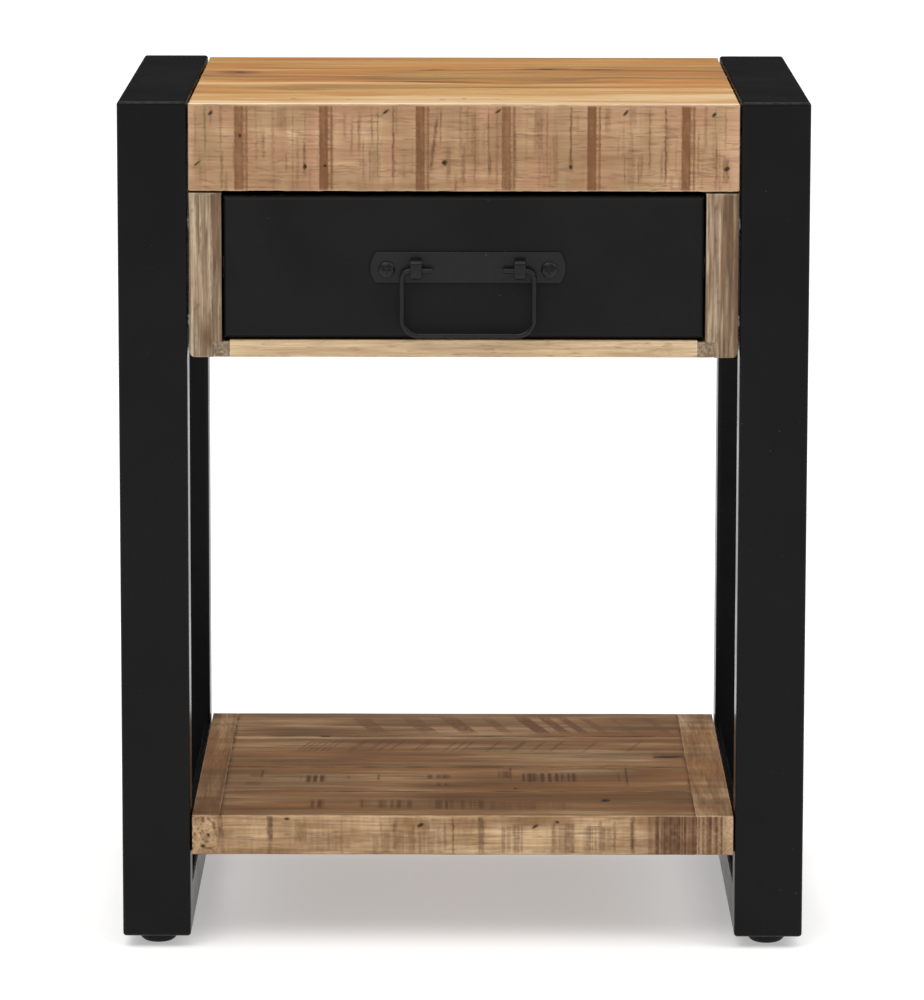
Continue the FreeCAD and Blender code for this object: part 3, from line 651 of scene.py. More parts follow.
def sideCounts(corners, axis, fine):
    # points on each straight side, closer where the side shows
    counts = []
    for i, corner in enumerate(corners):
        after = corners[(i + 1) % len(corners)]
        way = np.array(after[:2]) - np.array(corner[:2])
        normal = (way[1], -way[0])
        facing = int(abs(normal[1]) > abs(normal[0]))
        sign = "+" if normal[facing] > 0 else "-"
        name = sign + "xyz"[(axis + 1 + facing) % 3]
        counts.append(max(1, round(np.linalg.norm(way) / fine.get(name, fine["rest"]))))
    return counts


def easedEnds(corners, start, end, ease):
    # levels of a board whose two ends are rounded over by ease
    levels = []
    for quarter in (0, 30, 60, 90):
        angle = math.radians(quarter)
        levels.append((start + ease * (1 - math.cos(angle)), corners,
                       ease * (1 - math.sin(angle))))
    return levels + [(start + end - place, c, inset) for place, c, inset in reversed(levels)]


def makeBoard(name, axis, levels, fine, rowStep, paint=None, relief=None):
    # levels are (place along the axis, corners, inset)
    counts = sideCounts(levels[len(levels) // 2][1], axis, fine)
    rows, rowNormals = [], []
    loops = []
    for place, corners, inset in levels:
        around, normals = loopOf(corners, counts)
        loops.append((place, around - normals * inset, normals))
    for (place, around, normals), (nextPlace, nextAround, _) in zip(loops, loops[1:]):
        steps = max(1, round((nextPlace - place) / rowStep))
        for share in np.arange(steps) / steps:
            between = around + (nextAround - around) * share
            rows.append((place + (nextPlace - place) * share, between))
            rowNormals.append(normals)
    rows.append(loops[-1][:2])
    rowNormals.append(loops[-1][2])
    size = len(loops[0][1])
    places = np.zeros((len(rows), size, 3))
    outward = np.zeros((len(rows), size, 3))
    across, up = (axis + 1) % 3, (axis + 2) % 3
    for i, (place, around) in enumerate(rows):
        places[i, :, axis] = place
        places[i, :, across], places[i, :, up] = around.T
        outward[i, :, across], outward[i, :, up] = rowNormals[i].T
    places, outward = places.reshape(-1, 3), outward.reshape(-1, 3)
    marks = paint(places, outward) if paint else {}
    if relief:
        places = places - outward * relief(places, outward, marks)[:, None]
    index = np.arange(len(rows) * size).reshape(len(rows), size)
    turned = np.roll(index, -1, axis=1)
    quads = np.stack([index[:-1], turned[:-1], turned[1:], index[1:]], axis=-1).reshape(-1, 4)
    faces = quads.tolist() + [index[0, ::-1].tolist(), index[-1].tolist()]
    mesh = bpy.data.meshes.new(name)
    mesh.from_pydata(places.tolist(), [], faces)
    smooth = np.ones(len(faces), dtype=bool)
    smooth[-2:] = False
    mesh.polygons.foreach_set("use_smooth", smooth)
    for mark, values in marks.items():
        layer = mesh.attributes.new(mark, "FLOAT", "POINT")
        layer.data.foreach_set("value", values.astype(np.float32))
    mesh.update()
    board = bpy.data.objects.new(name, mesh)
    bpy.context.scene.collection.objects.link(board)
    return board


def fit(board, body, finish, slot, *cadNodes):
    board.data.materials.append(finish)
    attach(board, body)
    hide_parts(*cadNodes)


def boxCorners(low, high, axis, rounding):
    across, up = (axis + 1) % 3, (axis + 2) % 3
    return [(low[across], low[up], rounding[0]), (high[across], low[up], rounding[1]),
            (high[across], high[up], rounding[2]), (low[across], high[up], rounding[3])]


def nearEdges(places, edges, reach):
    # 1 on the given lines, fading over reach; each line is two (axis, place) pairs
    near = np.full(len(places), 1e9)
    for pair in edges:
        gap = np.zeros(len(places))
        for axis, place in pair:
            gap = np.maximum(gap, np.abs(places[:, axis] - place))
        near = np.minimum(near, gap)
    return np.exp(-(near / reach) ** 2)


# front and back apron

apronWork = {
    # share of the length, from the left, of each place where the saw burned a band
    "bands": (0.092, 0.246, 0.421, 0.577, 0.732, 0.903),
    "bandStrength": (0.85, 1.1, 1.05, 0.85, 1.15, 1.05),
    "bandWidth": 5.2 * mm,
    "lineWidth": 1.3 * mm,
    "strokeStrength": 1.3,
    "faintStrokes": 110,
    "lowerEdge": 1.0 * mm,         # rounding of the lower outside edge
    "backEdge": 0.4 * mm,
    "endEase": 0.7 * mm,
    "wornRim": 1.8 * mm,           # height of the rubbed lower rim
    "chewedRim": 1.6 * mm,         # and of the chipped one
    "reliefDepth": {"stain": 0.16 * mm, "lines": 0.14 * mm, "knots": 0.4 * mm},
    "seeds": {"front": 3, "back": 11},
    "backBands": (0.13, 0.285, 0.44, 0.6, 0.755, 0.91),
    # kerf strokes: share along, width in mm, from and to up the face, strength, any lean
    "strokes": (
        (0.031, 0.8, 0.45, 1.0, 0.55), (0.041, 1.4, 0.78, 1.0, 0.35),
        (0.060, 0.9, 0.0, 0.5, 0.45), (0.061, 0.7, 0.7, 1.0, 0.4),
        (0.137, 1.6, 0.4, 0.72, 0.4), (0.170, 5.5, 0.7, 1.0, 0.22),
        (0.190, 0.5, 0.0, 0.95, 0.45), (0.178, 1.0, 0.25, 0.45, 0.4),
        (0.211, 1.5, 0.2, 0.58, 0.6), (0.262, 0.6, 0.0, 0.9, 0.4),
        (0.297, 1.3, 0.45, 0.85, 0.4, 0.02), (0.310, 1.5, 0.5, 0.88, 0.45),
        (0.318, 0.8, 0.15, 0.6, 0.4), (0.330, 1.2, 0.1, 0.5, 0.35),
        (0.344, 0.6, 0.1, 0.95, 0.6), (0.341, 5.0, 0.1, 0.45, 0.25),
        (0.372, 1.0, 0.12, 1.0, 0.7), (0.373, 2.0, 0.15, 0.4, 0.45),
        (0.446, 1.8, 0.25, 0.9, 0.55, 0.12), (0.458, 1.2, 0.55, 0.98, 0.5, 0.03),
        (0.472, 2.6, 0.12, 0.5, 0.35), (0.500, 1.6, 0.1, 0.55, 0.45),
        (0.520, 0.6, 0.1, 0.92, 0.6), (0.545, 0.7, 0.2, 0.95, 0.6),
        (0.547, 1.7, 0.2, 0.42, 0.5), (0.635, 5.0, 0.45, 0.98, 0.3),
        (0.651, 1.0, 0.2, 0.96, 0.35), (0.668, 1.5, 0.1, 0.7, 0.3),
        (0.694, 1.1, 0.25, 1.0, 0.7), (0.694, 2.2, 0.25, 0.4, 0.5),
        (0.761, 3.2, 0.7, 0.98, 0.3), (0.792, 0.8, 0.08, 0.42, 0.5),
        (0.803, 4.5, 0.08, 0.45, 0.25), (0.817, 0.8, 0.08, 0.42, 0.55),
        (0.806, 4.0, 0.75, 0.98, 0.25), (0.837, 0.8, 0.25, 0.95, 0.55),
        (0.866, 0.9, 0.12, 0.98, 0.8), (0.866, 2.0, 0.4, 0.62, 0.3),
        (0.925, 1.0, 0.2, 0.7, 0.45), (0.958, 1.0, 0.1, 0.55, 0.55),
        (0.975, 3.5, 0.12, 0.4, 0.5), (0.974, 0.8, 0.5, 0.98, 0.4),
    ),
    # knots and nail marks: share along, share up, half length and half height in mm, slope
    "knots": ((0.041, 0.915, 1.3, 0.9, 0.6), (0.017, 0.33, 1.6, 0.6, 0.7),
              (0.094, 0.65, 0.7, 0.9, 0.0), (0.212, 0.29, 0.9, 1.2, 0.0),
              (0.358, 0.93, 1.6, 0.7, 0.6), (0.562, 0.94, 1.5, 0.7, 0.6),
              (0.465, 0.34, 1.4, 1.3, 0.0), (0.793, 0.92, 1.3, 0.9, 0.8),
              (0.953, 0.90, 1.1, 1.0, 0.5), (0.977, 0.27, 1.4, 1.1, 0.3),
              (0.694, 0.29, 0.9, 1.0, 0.0), (0.248, 0.3, 0.9, 0.6, 0.0)),
}


def strokeMask(along, up, strokes, length, height, seed):
    grit = softNoise(np.stack([along, up], 1), (0.9, 2.2), seed)
    ragged = (softNoise(np.stack([along, up], 1), (40, 1.1), seed + 1) - 0.5) * 0.7 * mm
    total = np.zeros(len(along))
    for place, width, low, high, strength, *lean in strokes:
        middle = place * length + sum(lean) * (up - height * (low + high) / 2)
        half = width * mm / 2
        side = within(along + ragged, middle - half, middle + half, 0.7 * mm)
        fade = min(0.14, 0.35 * (high - low)) * height
        ends = within(up, low * height, high * height, fade)
        total = np.maximum(total, side * ends * strength * (0.45 + 0.75 * grit))
    return clamp(total)


def knotMask(along, up, knots, length, height):
    total = np.zeros(len(along))
    wobble = softNoise(np.stack([along, up], 1), (0.8, 0.6), 5)
    for place, high, halfLong, halfHigh, slope in knots:
        x = along - place * length
        z = up - high * height - slope * x
        far = (x / (halfLong * 1.3 * mm)) ** 2 + (z / (halfHigh * 1.3 * mm)) ** 2
        total = np.maximum(total, clamp(1.6 - far - 0.5 * wobble))
    return total


def paintApron(places, outward, work, seed):
    low, high = places.min(0), places.max(0)
    along, up = places[:, 0] - low[0], places[:, 2] - low[2]
    length, height = high[0] - low[0], high[2] - low[2] - work["lowerEdge"]
    flat = np.stack([along, up], 1)
    side = outward[:, 1] * (1 if low[1] > 0 else -1)
    face = clamp((side - 0.8) * 8)
    grit = softNoise(flat, (1.1, 1.6), seed)
    dashes = softNoise(flat, (3, 1.0), seed + 3)
    cloudy = softNoise(flat, (2.5, 9), seed + 4)
    stain, lines = np.zeros(len(along)), np.zeros(len(along))
    for place, strength in zip(work["bands"], work["bandStrength"]):
        middle = place * length + (dashes - 0.5) * 0.35 * mm
        left, right = middle - work["bandWidth"] / 2, middle + work["bandWidth"] / 2
        main = within(along, left, right, 0.8 * mm) * (0.62 + 0.3 * cloudy + 0.25 * grit)
        main = main * strength
        thin = within(along, right + 1.2 * mm, right + 1.2 * mm + work["lineWidth"], 0.6 * mm)
        dotted = within(along, right + 0.1 * mm, right + 0.9 * mm, 0.5 * mm)
        dotted = dotted * np.clip(dashes * 2 - 0.75, 0, 0.7)
        stain = most(stain, main, thin * (0.6 + 0.4 * dashes), dotted)
        edge = within(along, left + 0.1 * mm, left + 0.9 * mm, 0.5 * mm) * 0.28
        inner = within(along, right - 1.0 * mm, right - 0.3 * mm, 0.5 * mm) * 0.35
        lines = np.maximum(lines, (edge + inner) * (0.5 + grit))
    reach = clamp((height - up) / (1.2 * mm) + 0.4) * clamp(up / (1.6 * mm))
    deep = strokeMask(along, up, work["strokes"], length, height, seed + 6)
    lines = np.maximum(lines, deep * work["strokeStrength"])
    draw = np.random.default_rng(seed)
    faint = [(draw.uniform(0.01, 0.99), draw.uniform(0.5, 1.8), start,
              start + draw.uniform(0.2, 0.7), draw.uniform(0.12, 0.5), draw.uniform(-0.03, 0.03))
             for start in draw.uniform(-0.2, 0.7, work["faintStrokes"])]
    lines = np.maximum(lines, strokeMask(along, up, faint, length, height, seed + 12))
    knots = knotMask(along, up, work["knots"], length, height)
    patchy = softNoise(flat, (14, 5), seed + 8)
    wide = softNoise(flat, (45, 20), seed + 9)
    blocks = softNoise(flat, (5, 30), seed + 13)
    blush = (softNoise(flat, (9, 24), seed + 14) - 0.5) * 2.2
    rim = clamp(1 - up / work["wornRim"]) * (0.35 + 0.6 * patchy)
    brow = clamp((up - height - 0.3 * mm) / (0.6 * mm))
    ends = clamp(1 - along / (5 * mm)) + clamp(1 - (length - along) / (9 * mm))
    return {
        "stain": clamp(stain * face * reach),
        "lines": clamp(lines * face * reach),
        "knots": knots * face,
        "worn": clamp(np.maximum(np.maximum(rim, brow), ends * 0.45 * patchy)),
        "tone": (wide - 0.5) * 0.3 + (patchy - 0.5) * 0.2 + (blocks - 0.5) * 0.35,
        "blush": blush * face,
        "board": np.full(len(along), seed * 0.013),
    }


def wearApron(places, outward, marks):
    flat = places[:, [0, 2]]
    fibres = softNoise(flat, (7, 0.9), 21)
    swell = softNoise(places, (26, 26, 14), 22)
    chewed = softNoise(flat, (3.2, 6), 23)
    up = places[:, 2] - places[:, 2].min()
    rim = clamp(1 - up / apronWork["chewedRim"])
    cut = sum(marks[mark] * deep for mark, deep in apronWork["reliefDepth"].items())
    return 0.07 * mm * fibres + 0.18 * mm * swell + cut + 0.32 * mm * rim * chewed


def topRounding():
    # the mitre cuts the rounding of the top's long edges in half
    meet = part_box("top_plank_front")[0].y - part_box("front_apron")[0].y
    bend = meet / (1 - math.sqrt(0.5))
    return bend, meet, bend * (1 - math.tan(math.radians(22.5)))


def flipped(marks):
    # the same marks for a face seen from the other side
    return [(1 - place, *rest) for place, *rest in marks]


def mirrored(corners):
    return [corners[i] for i in (1, 0, 4, 3, 2)]


def makeAprons():
    under, topPlane = (corner.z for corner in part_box("top_plank_middle"))
    bend, meet, tangent = topRounding()
    for name, end in (("front", -1), ("back", 1)):
        work = apronWork
        if end > 0:
            work = {**apronWork, "bands": apronWork["backBands"],
                    "strokes": flipped(apronWork["strokes"]), "knots": flipped(apronWork["knots"])}
        seed = work["seeds"][name]
        low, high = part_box(name + "_apron")
        outer, inner = (low.y, high.y) if end < 0 else (high.y, low.y)
        corners = [(outer, low.z, work["lowerEdge"]), (inner, low.z, work["backEdge"]),
                   (inner, under, 0.1 * mm), (outer - end * meet, topPlane - meet, 0.05 * mm),
                   (outer, topPlane - tangent, bend)]
        if end > 0:
            corners = mirrored(corners)
        fine = {"rest": 5 * mm, ("-y" if end < 0 else "+y"): 0.7 * mm}
        levels = easedEnds(corners, low.x, high.x, work["endEase"])
        board = makeBoard(name + "ApronBoard", 0, levels, fine, 0.5 * mm,
                          lambda p, n: paintApron(p, n, work, seed), wearApron)
        fit(board, "table", apronWood, "apron_wood", name + "_apron")


makeAprons()
print("aprons ready")

# top boards

topWork = {
    "joint": 0.25 * mm,            # rounding beside each seam
    "underEdge": 0.3 * mm,
    "endEase": 1.2 * mm,
    "drift": 22 * mm,              # how far the streaks wander, slowly and quickly
    "ripple": 9 * mm,
    "seams": (92 * mm, 175 * mm),  # from the front
    "boardShades": (0.05, 0.17, 0.31),
    "rubbedAndHighlitEdge": 4 * mm,
    # share of the depth from the front, and how light the wood is there
    "streaks": ((0.0, 0.5), (0.03, 0.46), (0.06, 0.34), (0.14, 0.38), (0.17, 0.3), (0.19, 0.08),
                (0.28, 0.18), (0.31, 0.08), (0.34, -0.14), (0.37, 0.16), (0.42, 0.32),
                (0.46, 0.1), (0.5, -0.26), (0.54, -0.06), (0.58, -0.26), (0.62, -0.04),
                (0.68, -0.28), (0.72, -0.02), (0.78, -0.12), (0.86, 0.04), (0.93, -0.04),
                (1.0, -0.14)),
    # knots: across, from the front, half length and half width in mm, slope
    "knots": ((0.072, 0.665, 3.0, 4.0, 0.0), (0.44, 0.70, 2.4, 2.0, 0.3),
              (0.425, 0.455, 9.0, 1.2, 0.02), (0.66, 0.71, 4.0, 3.0, 0.2),
              (0.745, 0.7, 5.0, 2.4, 0.0), (0.19, 0.1, 0.8, 2.5, 0.4), (0.46, 0.1, 1.0, 1.2, 0.0),
              (0.5, 0.11, 0.8, 1.0, 0.0), (0.56, 0.1, 0.9, 1.2, 0.0), (0.78, 0.09, 1.0, 1.0, 0.0),
              (0.29, 0.095, 0.8, 1.0, 0.0)),
}


def paintTop(places, outward):
    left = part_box("top_plank_middle")[0].x
    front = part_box("front_apron")[0].y
    width = -2 * left
    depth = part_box("back_apron")[1].y - front
    along, back = places[:, 0] - left, places[:, 1] - front
    flat = np.stack([along, back], 1)
    drift = softNoise(flat, (95, 40), 31) - 0.5
    ripple = softNoise(flat, (32, 12), 32) - 0.5
    moved = back + drift * topWork["drift"] + ripple * topWork["ripple"]
    moved = np.where(back < 6 * mm, back, moved)
    share = clamp(moved / depth)
    stops = np.array(topWork["streaks"])
    tone = np.interp(share, stops[:, 0], stops[:, 1])
    bent = np.stack([along, moved], 1)
    thin, broad = softNoise(bent, (120, 1.8), 33), softNoise(bent, (60, 9), 34)
    tone = tone + (thin - 0.5) * 0.28 + (broad - 0.5) * 0.26
    knots = knotMask(along, moved, topWork["knots"], width, depth)
    ring = knotMask(along, moved, [(a, b, c * 3.5, d * 2.6, s) for a, b, c, d, s in
                                   topWork["knots"][:5]], width, depth)
    number = sum((back > seam).astype(int) for seam in topWork["seams"])
    board = np.array(topWork["boardShades"])[number]
    # painted highlight: the front strip of the top is made pale, partly as rubbed wear and partly
    # for the light caught by the rounded front edge
    edge = clamp(1 - back / topWork["rubbedAndHighlitEdge"])
    warm = (softNoise(bent, (70, 20), 36) - 0.42) * 2.2
    return {"tone": tone, "knots": knots * 0.85, "lines": ring * 0.55, "worn": edge * 0.75,
            "blush": warm * clamp((back - 60 * mm) / (50 * mm)), "board": board}


def wearTop(places, outward, marks):
    swell = softNoise(places, (60, 22, 20), 35)
    return 0.12 * mm * swell + 0.1 * mm * marks["knots"]


def makeTopBoards():
    under, topPlane = (corner.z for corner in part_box("top_plank_middle"))
    bend, meet, tangent = topRounding()
    joint, underEdge = topWork["joint"], topWork["underEdge"]
    fine = {"rest": 6 * mm, "+z": 1.5 * mm}
    for name, end in (("front", -1), ("middle", 0), ("back", 1)):
        low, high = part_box("top_plank_" + name)
        if end == 0:
            corners = boxCorners(low, high, 0, (underEdge, underEdge, joint, joint))
        else:
            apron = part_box(name + "_apron")
            outer, inner = (apron[0].y, apron[1].y) if end < 0 else (apron[1].y, apron[0].y)
            seam = high.y if end < 0 else low.y
            corners = [(inner, under, 0.1 * mm), (seam, under, underEdge),
                       (seam, topPlane, joint), (outer - end * tangent, topPlane, bend),
                       (outer - end * meet, topPlane - meet, 0.05 * mm)]
            if end > 0:
                corners = mirrored(corners)
        levels = easedEnds(corners, low.x, high.x, topWork["endEase"])
        board = makeBoard(name + "TopBoard", 0, levels, fine, 1.5 * mm, paintTop, wearTop)
        fit(board, "table", topWood, "top_wood", "top_plank_" + name)


makeTopBoards()
print("top ready")

# shelf

shelfWork = {
    # saw strokes on the front edge: share along, width in mm, from and to, strength, any lean
    "front": (
        (0.052, 3.0, 0.45, 1.0, 0.65, -0.1), (0.056, 2.6, 0.0, 0.42, 0.4),
        (0.1435, 3.2, 0.35, 1.0, 0.8), (0.144, 2.4, 0.0, 0.4, 0.4),
        (0.199, 6.0, 0.3, 0.78, 0.4), (0.21, 1.2, 0.3, 0.9, 0.45),
        (0.276, 0.7, 0.1, 0.85, 0.4), (0.338, 3.0, 0.05, 0.5, 0.35),
        (0.350, 1.0, 0.2, 0.8, 0.35), (0.375, 2.2, 0.1, 0.85, 0.5),
        (0.408, 2.2, 0.05, 0.8, 0.45), (0.430, 6.0, 0.5, 0.85, 0.35),
        (0.455, 1.1, 0.1, 0.7, 0.4), (0.467, 1.4, 0.1, 0.8, 0.5),
        (0.482, 0.9, 0.05, 0.97, 0.9), (0.534, 3.4, 0.05, 0.97, 0.65),
        (0.575, 2.0, 0.05, 0.75, 0.5), (0.668, 2.4, 0.05, 0.85, 0.5),
        (0.735, 2.0, 0.1, 0.75, 0.55), (0.755, 2.0, 0.1, 0.85, 0.55),
        (0.781, 1.5, 0.1, 0.85, 0.5), (0.814, 2.0, 0.0, 1.0, 0.8),
    ),
    # close rows of strokes: from and to along, low and high across, spacing in mm, strength
    "frontCombs": ((0.583, 0.612, 0.05, 0.75, 1.5, 0.5), (0.677, 0.708, 0.05, 0.8, 1.6, 0.5),
                   (0.716, 0.775, 0.1, 0.7, 1.5, 0.45), (0.845, 0.985, 0.0, 1.0, 1.5, 0.85),
                   (0.22, 0.27, 0.1, 0.6, 2.2, 0.25), (0.34, 0.47, 0.05, 0.6, 1.7, 0.3)),
    "frontKnots": ((0.634, 0.72, 1.6, 0.8, 0.5), (0.675, 0.83, 1.0, 0.7, 0.0),
                   (0.422, 0.75, 1.6, 1.0, 0.4), (0.175, 0.9, 1.3, 0.7, 0.0),
                   (0.02, 0.22, 1.2, 0.9, 0.0), (0.03, 0.5, 0.8, 0.8, 0.0)),
    # the same on the top, measured along and from the front edge
    "top": tuple((along, width, 0.80, 0.95, strength, -0.28) for along, width, strength in (
        (0.316, 11, 0.5), (0.415, 11, 0.5), (0.492, 11, 0.6), (0.567, 7, 0.45),
        (0.638, 9, 0.95), (0.682, 7, 0.75), (0.719, 6, 0.7), (0.761, 5, 0.5),
        (0.816, 3, 0.3), (0.885, 5, 0.4))) + tuple(
        (along, 1.6, 0.61, 0.71, 0.42, 0.3) for along in (
            0.192, 0.203, 0.214, 0.226, 0.239, 0.25, 0.292, 0.299, 0.33, 0.35, 0.37, 0.418,
            0.427, 0.476, 0.494, 0.51, 0.56, 0.607, 0.612, 0.648, 0.683, 0.749, 0.835)) + (
        (0.591, 1.0, 0.34, 0.45, 0.9), (0.812, 1.1, 0.29, 0.45, 0.85),
        (0.797, 1.0, 0.31, 0.40, 0.5), (0.118, 1.2, 0.35, 0.42, 0.85),
        (0.34, 1.2, 0.33, 0.38, 0.6), (0.283, 1.4, 0.34, 0.37, 0.5),
        (0.900, 20.0, 0.54, 0.60, 0.6), (0.87, 60.0, 0.46, 0.475, 0.35),
        (0.105, 7.0, 0.36, 0.39, 0.45), (0.105, 9.0, 0.28, 0.31, 0.45)),
    "topCombs": ((0.195, 0.239, 0.31, 0.37, 2.0, 0.85), (0.428, 0.476, 0.34, 0.38, 2.4, 0.6),
                 (0.449, 0.473, 0.27, 0.3, 2.0, 0.5), (0.568, 0.591, 0.35, 0.42, 2.4, 0.5),
                 (0.613, 0.714, 0.317, 0.393, 2.2, 1.0), (0.214, 0.24, 0.067, 0.141, 2.0, 0.55),
                 (0.308, 0.325, 0.067, 0.141, 1.8, 0.5), (0.343, 0.408, 0.067, 0.141, 2.2, 0.55),
                 (0.44, 0.54, 0.06, 0.141, 2.2, 0.55), (0.55, 0.7, 0.05, 0.12, 2.6, 0.25)),
    "topKnots": ((0.767, 0.14, 2.2, 3.0, 0.2), (0.9, 0.56, 7.0, 2.4, 0.1),
                 (0.6, 0.25, 1.0, 1.2, 0.0), (0.23, 0.76, 3.0, 2.0, 0.0)),
    "tones": (-0.12, -0.05, 0.0, -0.02),       # of the four boards, from the front
    "endTones": {"left": -0.14, "right": 0.16},
    "endWidths": (16.5 * mm, 22.5 * mm),       # no top marks on the left and right end boards
    "ease": 1.0 * mm,
    "joint": 0.3 * mm,
}


def combMask(along, up, combs, length, height, seed):
    total = np.zeros(len(along))
    for low, high, under, over, pitch, strength in combs:
        bars = softNoise(np.stack([along, up * 0 + pitch], 1), (pitch * 0.5, 1000), seed)
        broken = softNoise(np.stack([along, up], 1), (pitch, height * 0.09 / mm), seed + 1)
        bars = clamp((bars - 0.36) * 3.2) * (0.5 + 0.8 * broken)
        area = within(along, low * length, high * length, 3 * mm)
        fade = min(0.05, 0.35 * (over - under)) * height
        area = area * within(up, under * height, over * height, fade)
        total = np.maximum(total, bars * area * strength)
    return clamp(total)


def paintShelf(places, outward):
    left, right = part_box("left_shelf_end")[0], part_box("right_shelf_end")[1]
    length, depth, thick = right.x - left.x, right.y - left.y, right.z - left.z
    along, back, up = (places[:, i] - left[i] for i in range(3))
    plan = np.stack([along, back], 1)
    face = np.stack([along, up], 1)
    onTop = clamp((outward[:, 2] - 0.75) * 5)
    onFront = clamp((-outward[:, 1] - 0.75) * 5)
    onBack = clamp((outward[:, 1] - 0.75) * 5)
    grain = softNoise(plan, (70, 3.0), 41) * 0.5 + softNoise(plan, (30, 9), 42)
    cloud = softNoise(plan, (55, 30), 43)
    frontCloud = softNoise(face, (18, 10), 44)
    fine = softNoise(face, (1.4, 7), 45)
    work = shelfWork
    leftEnd, rightEnd = work["endWidths"]
    clear = 1 - (along < leftEnd).astype(int) - (length - along < rightEnd).astype(int)
    dark = within(along / length, 0.84, 0.99, 0.05) * (0.55 + 0.5 * frontCloud)
    tone = onTop * ((grain - 0.75) * 0.26 + (cloud - 0.5) * 0.3)
    # painted shade: the front and back faces are made lighter than the top, so the top reads as
    # shaded under the case
    tone = tone + (onFront + onBack) * (0.36 + (frontCloud - 0.5) * 0.3 + (fine - 0.5) * 0.12)
    frontLines = most(strokeMask(along, up, work["front"], length, thick, 46),
                      combMask(along, up, work["frontCombs"], length, thick, 48))
    shown = onFront + onBack
    narrow, broad = ([s for s in work["top"] if (s[1] < 3) == thin] for thin in (True, False))
    topLines = most(strokeMask(along, back, narrow, length, depth, 50),
                    combMask(along, back, work["topCombs"], length, depth, 52))
    wide = strokeMask(along, back, broad, length, depth, 54)
    topLines, wide = topLines * clear * 1.5, wide * clear * 1.6
    knots = most(knotMask(along, up, work["frontKnots"], length, thick) * shown,
                 knotMask(along, back, work["topKnots"], length, depth) * onTop)
    specks = softNoise(face, (1.6, 1.3), 55)
    specks = clamp((specks - 0.68) * 6) * shown * np.where(along < 14 * mm, 0.8, 0.0)
    rim = clamp(outward[:, 2] * -outward[:, 1] * 2.4)
    chips = softNoise(face, (6, 6), 56)
    bend = (softNoise(plan, (26, 400), 61) - 0.5) * 9 * mm
    pale = np.exp(-((back - 0.745 * depth - bend) / (3.2 * mm)) ** 2) * clear
    tone = tone + 0.3 * pale * onTop
    rusty = (softNoise(plan, (60, 13), 62) - 0.45) * 1.8
    return {
        "stain": clamp(wide * onTop + dark * onFront * 0.7 + frontLines * shown * 0.35),
        "lines": clamp(np.maximum(frontLines * shown, topLines * onTop) + specks) * 0.9,
        "knots": clamp(knots),
        "blush": rusty * onTop,
        "worn": rim * (0.25 + 0.5 * chips),
        "tone": tone,
    }


def wearShelf(places, outward, marks):
    swell = softNoise(places, (40, 30, 12), 57)
    fibres = softNoise(places, (8, 1.3, 0.9), 58)
    chips = softNoise(places, (5, 5, 4), 59)
    arris = np.clip(1 - np.abs(outward).max(1), 0, 0.3) / 0.3
    return (0.22 * mm * swell + 0.06 * mm * fibres + 0.35 * mm * arris * chips
            + 0.13 * mm * marks["lines"] + 0.1 * mm * marks["stain"] + 0.25 * mm * marks["knots"])


def makeShelf():
    leftLow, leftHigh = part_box("left_shelf_end")
    rightLow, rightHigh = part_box("right_shelf_end")
    ease, joint = shelfWork["ease"], shelfWork["joint"]
    for number in range(1, 5):
        low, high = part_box("shelf_plank_%d" % number)
        first = ease if number == 1 else joint
        last = ease if number == 4 else joint
        corners = boxCorners(low, high, 0, (first, last, last, first))
        fine = {"rest": 5 * mm, "+z": 1.2 * mm, "-y": 0.7 * mm if number == 1 else 6 * mm,
                "+y": 0.9 * mm if number == 4 else 6 * mm}
        levels = easedEnds(corners, leftHigh.x, rightLow.x, joint)
        tone = shelfWork["tones"][number - 1]

        def paint(places, outward):
            marks = paintShelf(places, outward)
            seams = [((1, edge), (2, high.z)) for edge in (low.y, high.y)
                     if leftLow.y + ease < edge < leftHigh.y - ease]
            seams += [((0, leftHigh.x), (2, high.z)), ((0, rightLow.x), (2, high.z))]
            # darker along the seams between boards
            seamDarkening = nearEdges(places, seams, 1.5 * mm)
            broken = softNoise(places[:, :2], (14, 9), 60 + number)
            marks["lines"] = np.maximum(marks["lines"], seamDarkening * (0.3 + 0.8 * broken))
            marks["tone"] = marks["tone"] + tone
            marks["board"] = np.full(len(places), number * 0.23)
            return marks

        board = makeBoard("shelfBoard%d" % number, 0, levels, fine, 0.7 * mm, paint, wearShelf)
        fit(board, "table", shelfWood, "shelf_wood", "shelf_plank_%d" % number)
    for side, low, high in (("left", leftLow, leftHigh), ("right", rightLow, rightHigh)):
        corners = boxCorners(low, high, 0, (ease,) * 4)
        fine = {"rest": 5 * mm, "+z": 1.5 * mm, "-y": 0.7 * mm, "+y": 0.9 * mm}
        levels = easedEnds(corners, low.x, high.x, joint)

        def paintEnd(places, outward):
            marks = paintShelf(places, outward)
            marks["tone"] = marks["tone"] + shelfWork["endTones"][side]
            across = softNoise(places[:, :2], (4, 60), 70)
            marks["tone"] = marks["tone"] + (across - 0.5) * 0.3
            if side == "right":
                share = (places[:, 1] - low.y) / (high.y - low.y)
                smudge = within(share, 0.25, 0.37, 0.08) * clamp(outward[:, 2])
                marks["knots"] = np.maximum(marks["knots"], 0.4 * smudge * across)
            marks["board"] = np.full(len(places), 1.3 if side == "left" else 1.7)
            return marks

        board = makeBoard(side + "ShelfEndBoard", 0, levels, fine, 0.8 * mm, paintEnd, wearShelf)
        fit(board, "table", shelfEndWood, "shelf_end_wood", side + "_shelf_end")


makeShelf()
print("shelf ready")

# drawer case

caseWork = {
    "corner": 3.0 * mm,            # rounding under each side panel
    "arris": 0.8 * mm,
    "stripArris": 0.4 * mm,
    "step": 0.05 * mm,             # height over which the outline changes
    "thickness": 19 * mm,
    "knot": (0.45, 0.22),          # share across and half its width
    "knotHeight": (0.3635, 0.006),
    "knotStrength": {"left": 0.55, "right": 0.2},
    "boardShades": {"left": 0.4, "right": 0.9},
    "quiet": 2.5 * mm,             # the relief fades this near a change of outline
}


